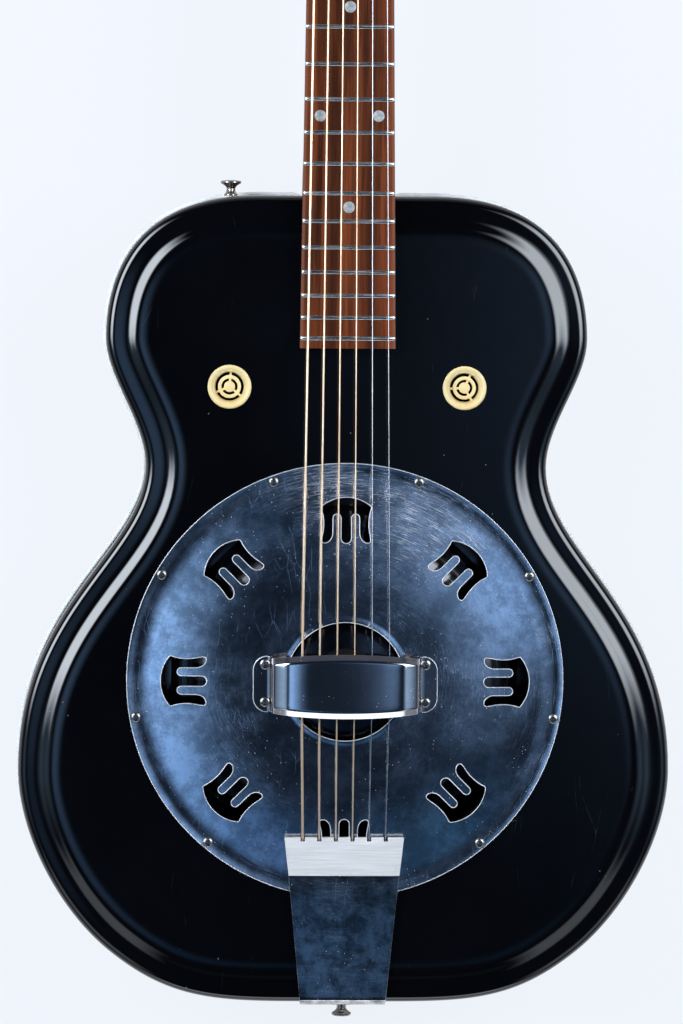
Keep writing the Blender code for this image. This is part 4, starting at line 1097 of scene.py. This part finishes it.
GEAR_TOP = PLATE_LOW - 0.3
GEAR_LOW = GEAR_TOP - 3.4
for number in range(6):
    side = -1 if number < 3 else 1
    row = number if number < 3 else 5 - number
    along = POST_PITCH[row]
    steps = 56
    rings = []
    for height in (GEAR_LOW, GEAR_LOW + 0.4, GEAR_TOP - 0.4, GEAR_TOP):
        inset = 0.25 if height in (GEAR_LOW, GEAR_TOP) else 0.0
        ring = []
        for i in range(steps):
            turn = 2 * math.pi * i / steps
            tooth = 0.5 + 0.5 * math.tanh(3.0 * math.cos(14 * turn)) / math.tanh(3.0)
            radius = 4.6 + 0.8 * tooth - inset
            ring.append((radius * math.cos(turn), radius * math.sin(turn), height))
        rings.append(ring)
    for radius, height in ((3.0, GEAR_TOP + 0.02), (3.0, -2.0), (3.0, 3.0), (2.75, 3.6), (2.7, 8.2),
                           (3.0, 8.9), (3.0, 10.4), (2.7, 10.9), (1.6, 11.0)):
        rings.append(circle(radius, height, steps))
    spot = HEAD @ Matrix.Translation((side * POST_X * MM, along * MM, 0.0))
    post = make("string_post_%d" % (number + 1), loft(rings), sharp=35.0, place=spot)
    body = "post_%d" % (number + 1)
    piece(post, "worn_nickel", ["tuner_post_%d" % (number + 1)], body)
    radius = STRING_RADII[number]
    turns = []
    for k in range(3):
        coil = [(2.75 + radius + (radius * 0.98) * math.cos(math.radians(a)),
                 6.0 + (k - 1) * radius * 2.05 + radius * math.sin(math.radians(a)))
                for a in range(0, 360, 45)]
        turns.append(turned_ring(coil, 28))
    coils = make("string_turns_%d" % (number + 1), joined(turns), sharp=80.0, place=spot)
    piece(coils, STRING_METAL[number], (), body)
    ferrule = turned_ring(((3.25, -1.0), (3.45, -1.0), (3.45, 0.05), (5.2, 0.05), (5.3, 0.3),
                           (4.9, 0.8), (3.9, 1.3), (3.25, 1.3)), 40)
    piece(make("ferrule_%d" % (number + 1), ferrule, sharp=40.0, place=spot), "worn_nickel")

    spot = (HEAD @ Matrix.Translation((side * POST_X * MM, (along + WORM_OFFSET) * MM,
                                       WORM_DEPTH * MM))
            @ Matrix.Rotation(side * math.radians(90), 4, "Y"))
    rings = []
    heights = [-9.5, -9.2, -5.0, -4.6] + [-4.4 + 0.2 * i for i in range(45)] + [4.6, 5.0, 18.8, 19.2,
                                                                             20.8]
    for height in heights:
        ring = []
        for i in range(24):
            turn = 2 * math.pi * i / 24
            radius = 1.5
            if abs(height) < 4.5:
                radius = 2.15 + 0.35 * math.cos(2 * math.pi * height / 1.6 - turn)
            elif height < -9.3:
                radius = 1.2
            elif height > 19.0:
                radius = 2.6
            ring.append((radius * math.cos(turn), radius * math.sin(turn), height))
        rings.append(ring)
    body = "worm_%d" % (number + 1)
    piece(make("worm_shaft_%d" % (number + 1), loft(rings), sharp=45.0, place=spot), "worn_nickel",
          ["tuner_worm_%d" % (number + 1)], body)
    rings = []
    for radius, height in ((2.0, 20.6), (3.2, 20.9), (4.4, 21.8), (5.8, 23.2), (6.9, 25.0),
                           (7.7, 27.2), (8.0, 29.4), (7.7, 31.4), (6.8, 33.0), (5.4, 34.2),
                           (3.6, 34.9), (1.6, 35.0)):
        flat = 0.62 + 0.38 * max(0.0, (22.0 - height) / 1.4)
        rings.append(circle(radius, height, 32, flat))
    piece(make("button_%d" % (number + 1), loft(rings), sharp=50.0, place=spot), "bone", (), body,
          "button_plastic")

# ---------------------------------------------------------------- strings
for number, radius in enumerate(STRING_RADII):
    across = number - 2.5
    side = -1 if number < 3 else 1
    row = number if number < 3 else 5 - number
    post_side = side * (POST_X - POST_RADIUS - 0.3 - radius)
    lift = 0.3 + radius
    nut_x = across * SPREAD_NUT
    path = [(across * SPREAD_TAIL, -100.0, 88.7), (across * SPREAD_TAIL, -90.0, 88.7),
            (across * SPREAD_TAIL, -87.0, 88.75),
            (across * SPREAD_SADDLE, -2.5, SADDLE_TOP - 0.2 + lift - 0.1),
            (across * SPREAD_SADDLE, 0.0, SADDLE_TOP - 0.2 + lift),
            (across * SPREAD_SADDLE, 2.5, SADDLE_TOP - 0.2 + lift),
            (nut_x, SCALE, NUT_TOP + lift - 0.2), (nut_x, SCALE + 4.5, NUT_TOP - 0.9 + lift),
            head_point(post_side, POST_PITCH[row], 6.0)]
    piece(make("wire_%d" % (number + 1), tube(path, radius), sharp=60.0), STRING_METAL[number],
          ["string_%d" % (number + 1)])

# ---------------------------------------------------------------- carried-over CAD nodes
for node, look in (("soundwell", "well_wood"), ("neck_block", "block_wood"),
                   ("biscuit_screw", "plain_steel"), ("neck_bolt_upper", "plain_steel"),
                   ("neck_bolt_lower", "plain_steel")):
    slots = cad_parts[node].data.materials
    slots.clear()
    slots.append(LOOKS[look])

# ---------------------------------------------------------------- floor, light and camera
floor_mesh = bpy.data.meshes.new("floor")
FLOOR_REACH = 9.0
floor_mesh.from_pydata([(x * FLOOR_REACH, y * FLOOR_REACH, 0.0)
                        for x, y in ((-1, -1), (1, -1), (1, 1), (-1, 1))], [], [(0, 1, 2, 3)])
floor = bpy.data.objects.new("floor", floor_mesh)
bpy.context.scene.collection.objects.link(floor)
floor.location.z = -0.0004
floor_mesh.materials.append(pale_floor())


LIT = Vector((0.0, 0.05, 0.05))
LIGHT_COLOUR = (0.84, 0.91, 1.0)
LIGHT_DISTANCE = 1.6


def at_sky(azimuth, tilt):
    """Where a light stands: azimuth from +X and tilt from straight up, in degrees."""
    turn, lean = math.radians(azimuth), math.radians(tilt)
    return LIT + LIGHT_DISTANCE * Vector((math.cos(turn) * math.sin(lean),
                                          math.sin(turn) * math.sin(lean), math.cos(lean)))


def soft_edges(data):
    """Fade a rectangular light toward its edges."""
    data.use_nodes = True
    tree = data.node_tree
    tree.nodes.clear()

    def step(kind, source, **values):
        node = tree.nodes.new(kind)
        for key, value in values.items():
            setattr(node, key, value)
        tree.links.new(source, node.inputs[0])
        return node

    place = tree.nodes.new("ShaderNodeNewGeometry")
    split = step("ShaderNodeSeparateXYZ", place.outputs["Parametric"])
    fades = []
    for axis in "XY":
        middle = step("ShaderNodeMath", split.outputs[axis], operation="SUBTRACT")
        middle.inputs[1].default_value = 0.5
        off = step("ShaderNodeMath", middle.outputs[0], operation="ABSOLUTE")
        fade = step("ShaderNodeMapRange", off.outputs[0], interpolation_type="SMOOTHSTEP")
        fade.inputs["From Min"].default_value = 0.5
        fade.inputs["From Max"].default_value = 0.2
        fades.append(fade.outputs["Result"])
    both = step("ShaderNodeMath", fades[0], operation="MULTIPLY")
    tree.links.new(fades[1], both.inputs[1])
    glow = tree.nodes.new("ShaderNodeEmission")
    tree.links.new(both.outputs[0], glow.inputs["Strength"])
    step("ShaderNodeOutputLight", glow.outputs[0])


def softbox(name, azimuth, tilt, width, height, power):
    """A soft rectangular light aimed at the body, fading toward its edges."""
    data = bpy.data.lights.new(name, "AREA")
    data.shape = "RECTANGLE"
    data.size = width
    data.size_y = height
    data.energy = power
    data.color = LIGHT_COLOUR
    soft_edges(data)
    ob = bpy.data.objects.new(name, data)
    bpy.context.scene.collection.objects.link(ob)
    ob.location = at_sky(azimuth, tilt)
    ob.rotation_mode = "QUATERNION"
    ob.rotation_quaternion = (LIT - ob.location).to_track_quat("-Z", "Y")
    ob.visible_camera = False


for row in (("soft_left", 152.0, 48.0, 1.55, 0.86, 54.0), ("soft_right", 30.0, 44.0, 1.55, 1.05, 46.0),
            ("top_card", 90.0, 72.0, 1.6, 0.7, 0.7), ("low_card", -90.0, 75.0, 2.0, 0.62, 9.0),
            ("low_left", -130.0, 58.0, 0.9, 0.9, 2.6), ("low_right", -50.0, 58.0, 0.9, 0.9, 2.6)):
    softbox(*row)


def sky():
    """Dark overhead, paler toward the horizon, with soft blue patches that the chrome picks up."""
    world = bpy.data.worlds.new("studio")
    bpy.context.scene.world = world
    world.use_nodes = True
    tree = world.node_tree
    tree.nodes.clear()

    def add(kind, **props):
        node = tree.nodes.new(kind)
        for key, value in props.items():
            setattr(node, key, value)
        return node

    coords = add("ShaderNodeTexCoord").outputs["Generated"]
    split = add("ShaderNodeSeparateXYZ")
    tree.links.new(coords, split.inputs[0])
    ramp = add("ShaderNodeValToRGB")
    tree.links.new(split.outputs["Z"], ramp.inputs[0])
    stops = ((0.0, (0.42, 0.45, 0.50)), (0.3, (0.08, 0.09, 0.12)), (0.62, (0.012, 0.017, 0.030)),
             (1.0, (0.014, 0.023, 0.040)))
    while len(ramp.color_ramp.elements) < len(stops):
        ramp.color_ramp.elements.new(0.5)
    for element, (at, colour) in zip(ramp.color_ramp.elements, stops):
        element.position = at
        element.color = (*colour, 1.0)
    total = ramp.outputs[0]
    patches = (((-0.24, -0.03), (0.38, 0.66, 1.12)), ((-0.22, -0.20), (0.24, 0.45, 0.82)),
               ((-0.10, 0.09), (0.006, 0.02, 0.045)), ((0.15, 0.09), (0.11, 0.17, 0.27)),
               ((0.25, 0.05), (0.14, 0.26, 0.48)), ((0.13, -0.30), (0.02, 0.07, 0.14)),
               ((-0.08, -0.32), (0.05, 0.13, 0.29)), ((0.17, -0.03), (0.20, 0.34, 0.58)))
    patches = [(spot, colour, 0.15 if spot[0] < -0.2 else 0.12) for spot, colour in patches]
    for side in (-1, 1):
        patches.append(((side * 0.70, -0.11), (0.38, 0.58, 0.82), 0.28))
    for (px, py), colour, size in patches:
        gap = add("ShaderNodeVectorMath", operation="DISTANCE")
        tree.links.new(coords, gap.inputs[0])
        gap.inputs[1].default_value = (px, py, math.sqrt(1 - px * px - py * py))
        fall = add("ShaderNodeMapRange", interpolation_type="SMOOTHSTEP")
        tree.links.new(gap.outputs["Value"], fall.inputs["Value"])
        fall.inputs["From Min"].default_value = size * 1.4
        fall.inputs["From Max"].default_value = 0.0
        tint = add("ShaderNodeMix", data_type="RGBA")
        tree.links.new(fall.outputs["Result"], tint.inputs["Factor"])
        tint.inputs[6].default_value = (0.0, 0.0, 0.0, 1.0)
        tint.inputs[7].default_value = (*colour, 1.0)
        both = add("ShaderNodeMix", data_type="RGBA", blend_type="ADD")
        both.inputs["Factor"].default_value = 1.0
        tree.links.new(total, both.inputs[6])
        tree.links.new(tint.outputs[2], both.inputs[7])
        total = both.outputs[2]
    seen = add("ShaderNodeLightPath")
    pale = add("ShaderNodeMix", data_type="RGBA")
    tree.links.new(seen.outputs["Is Camera Ray"], pale.inputs["Factor"])
    tree.links.new(total, pale.inputs[6])
    pale.inputs[7].default_value = (0.83, 0.866, 0.925, 1.0)
    back = add("ShaderNodeBackground")
    tree.links.new(pale.outputs[2], back.inputs["Color"])
    out = add("ShaderNodeOutputWorld")
    tree.links.new(back.outputs[0], out.inputs[0])


sky()

camera_data = bpy.data.cameras.new("camera")
camera = bpy.data.objects.new("camera", camera_data)
bpy.context.scene.collection.objects.link(camera)
TARGET = Vector((-0.0027, 0.0989, 0.082))
OFFSET = Vector((-0.07, 0.15, 2.295))
ROLL = math.radians(0.42)
camera_data.sensor_width = 36.0
camera_data.lens = 141.8
camera.location = TARGET + OFFSET
back = OFFSET.normalized()
up = Vector((-math.sin(ROLL), math.cos(ROLL), 0.0))
right = up.cross(back).normalized()
up = back.cross(right)
camera.rotation_mode = "QUATERNION"
camera.rotation_quaternion = Matrix((right, up, back)).transposed().to_quaternion()
bpy.context.scene.camera = camera
bpy.context.scene.view_settings.view_transform = "Standard"
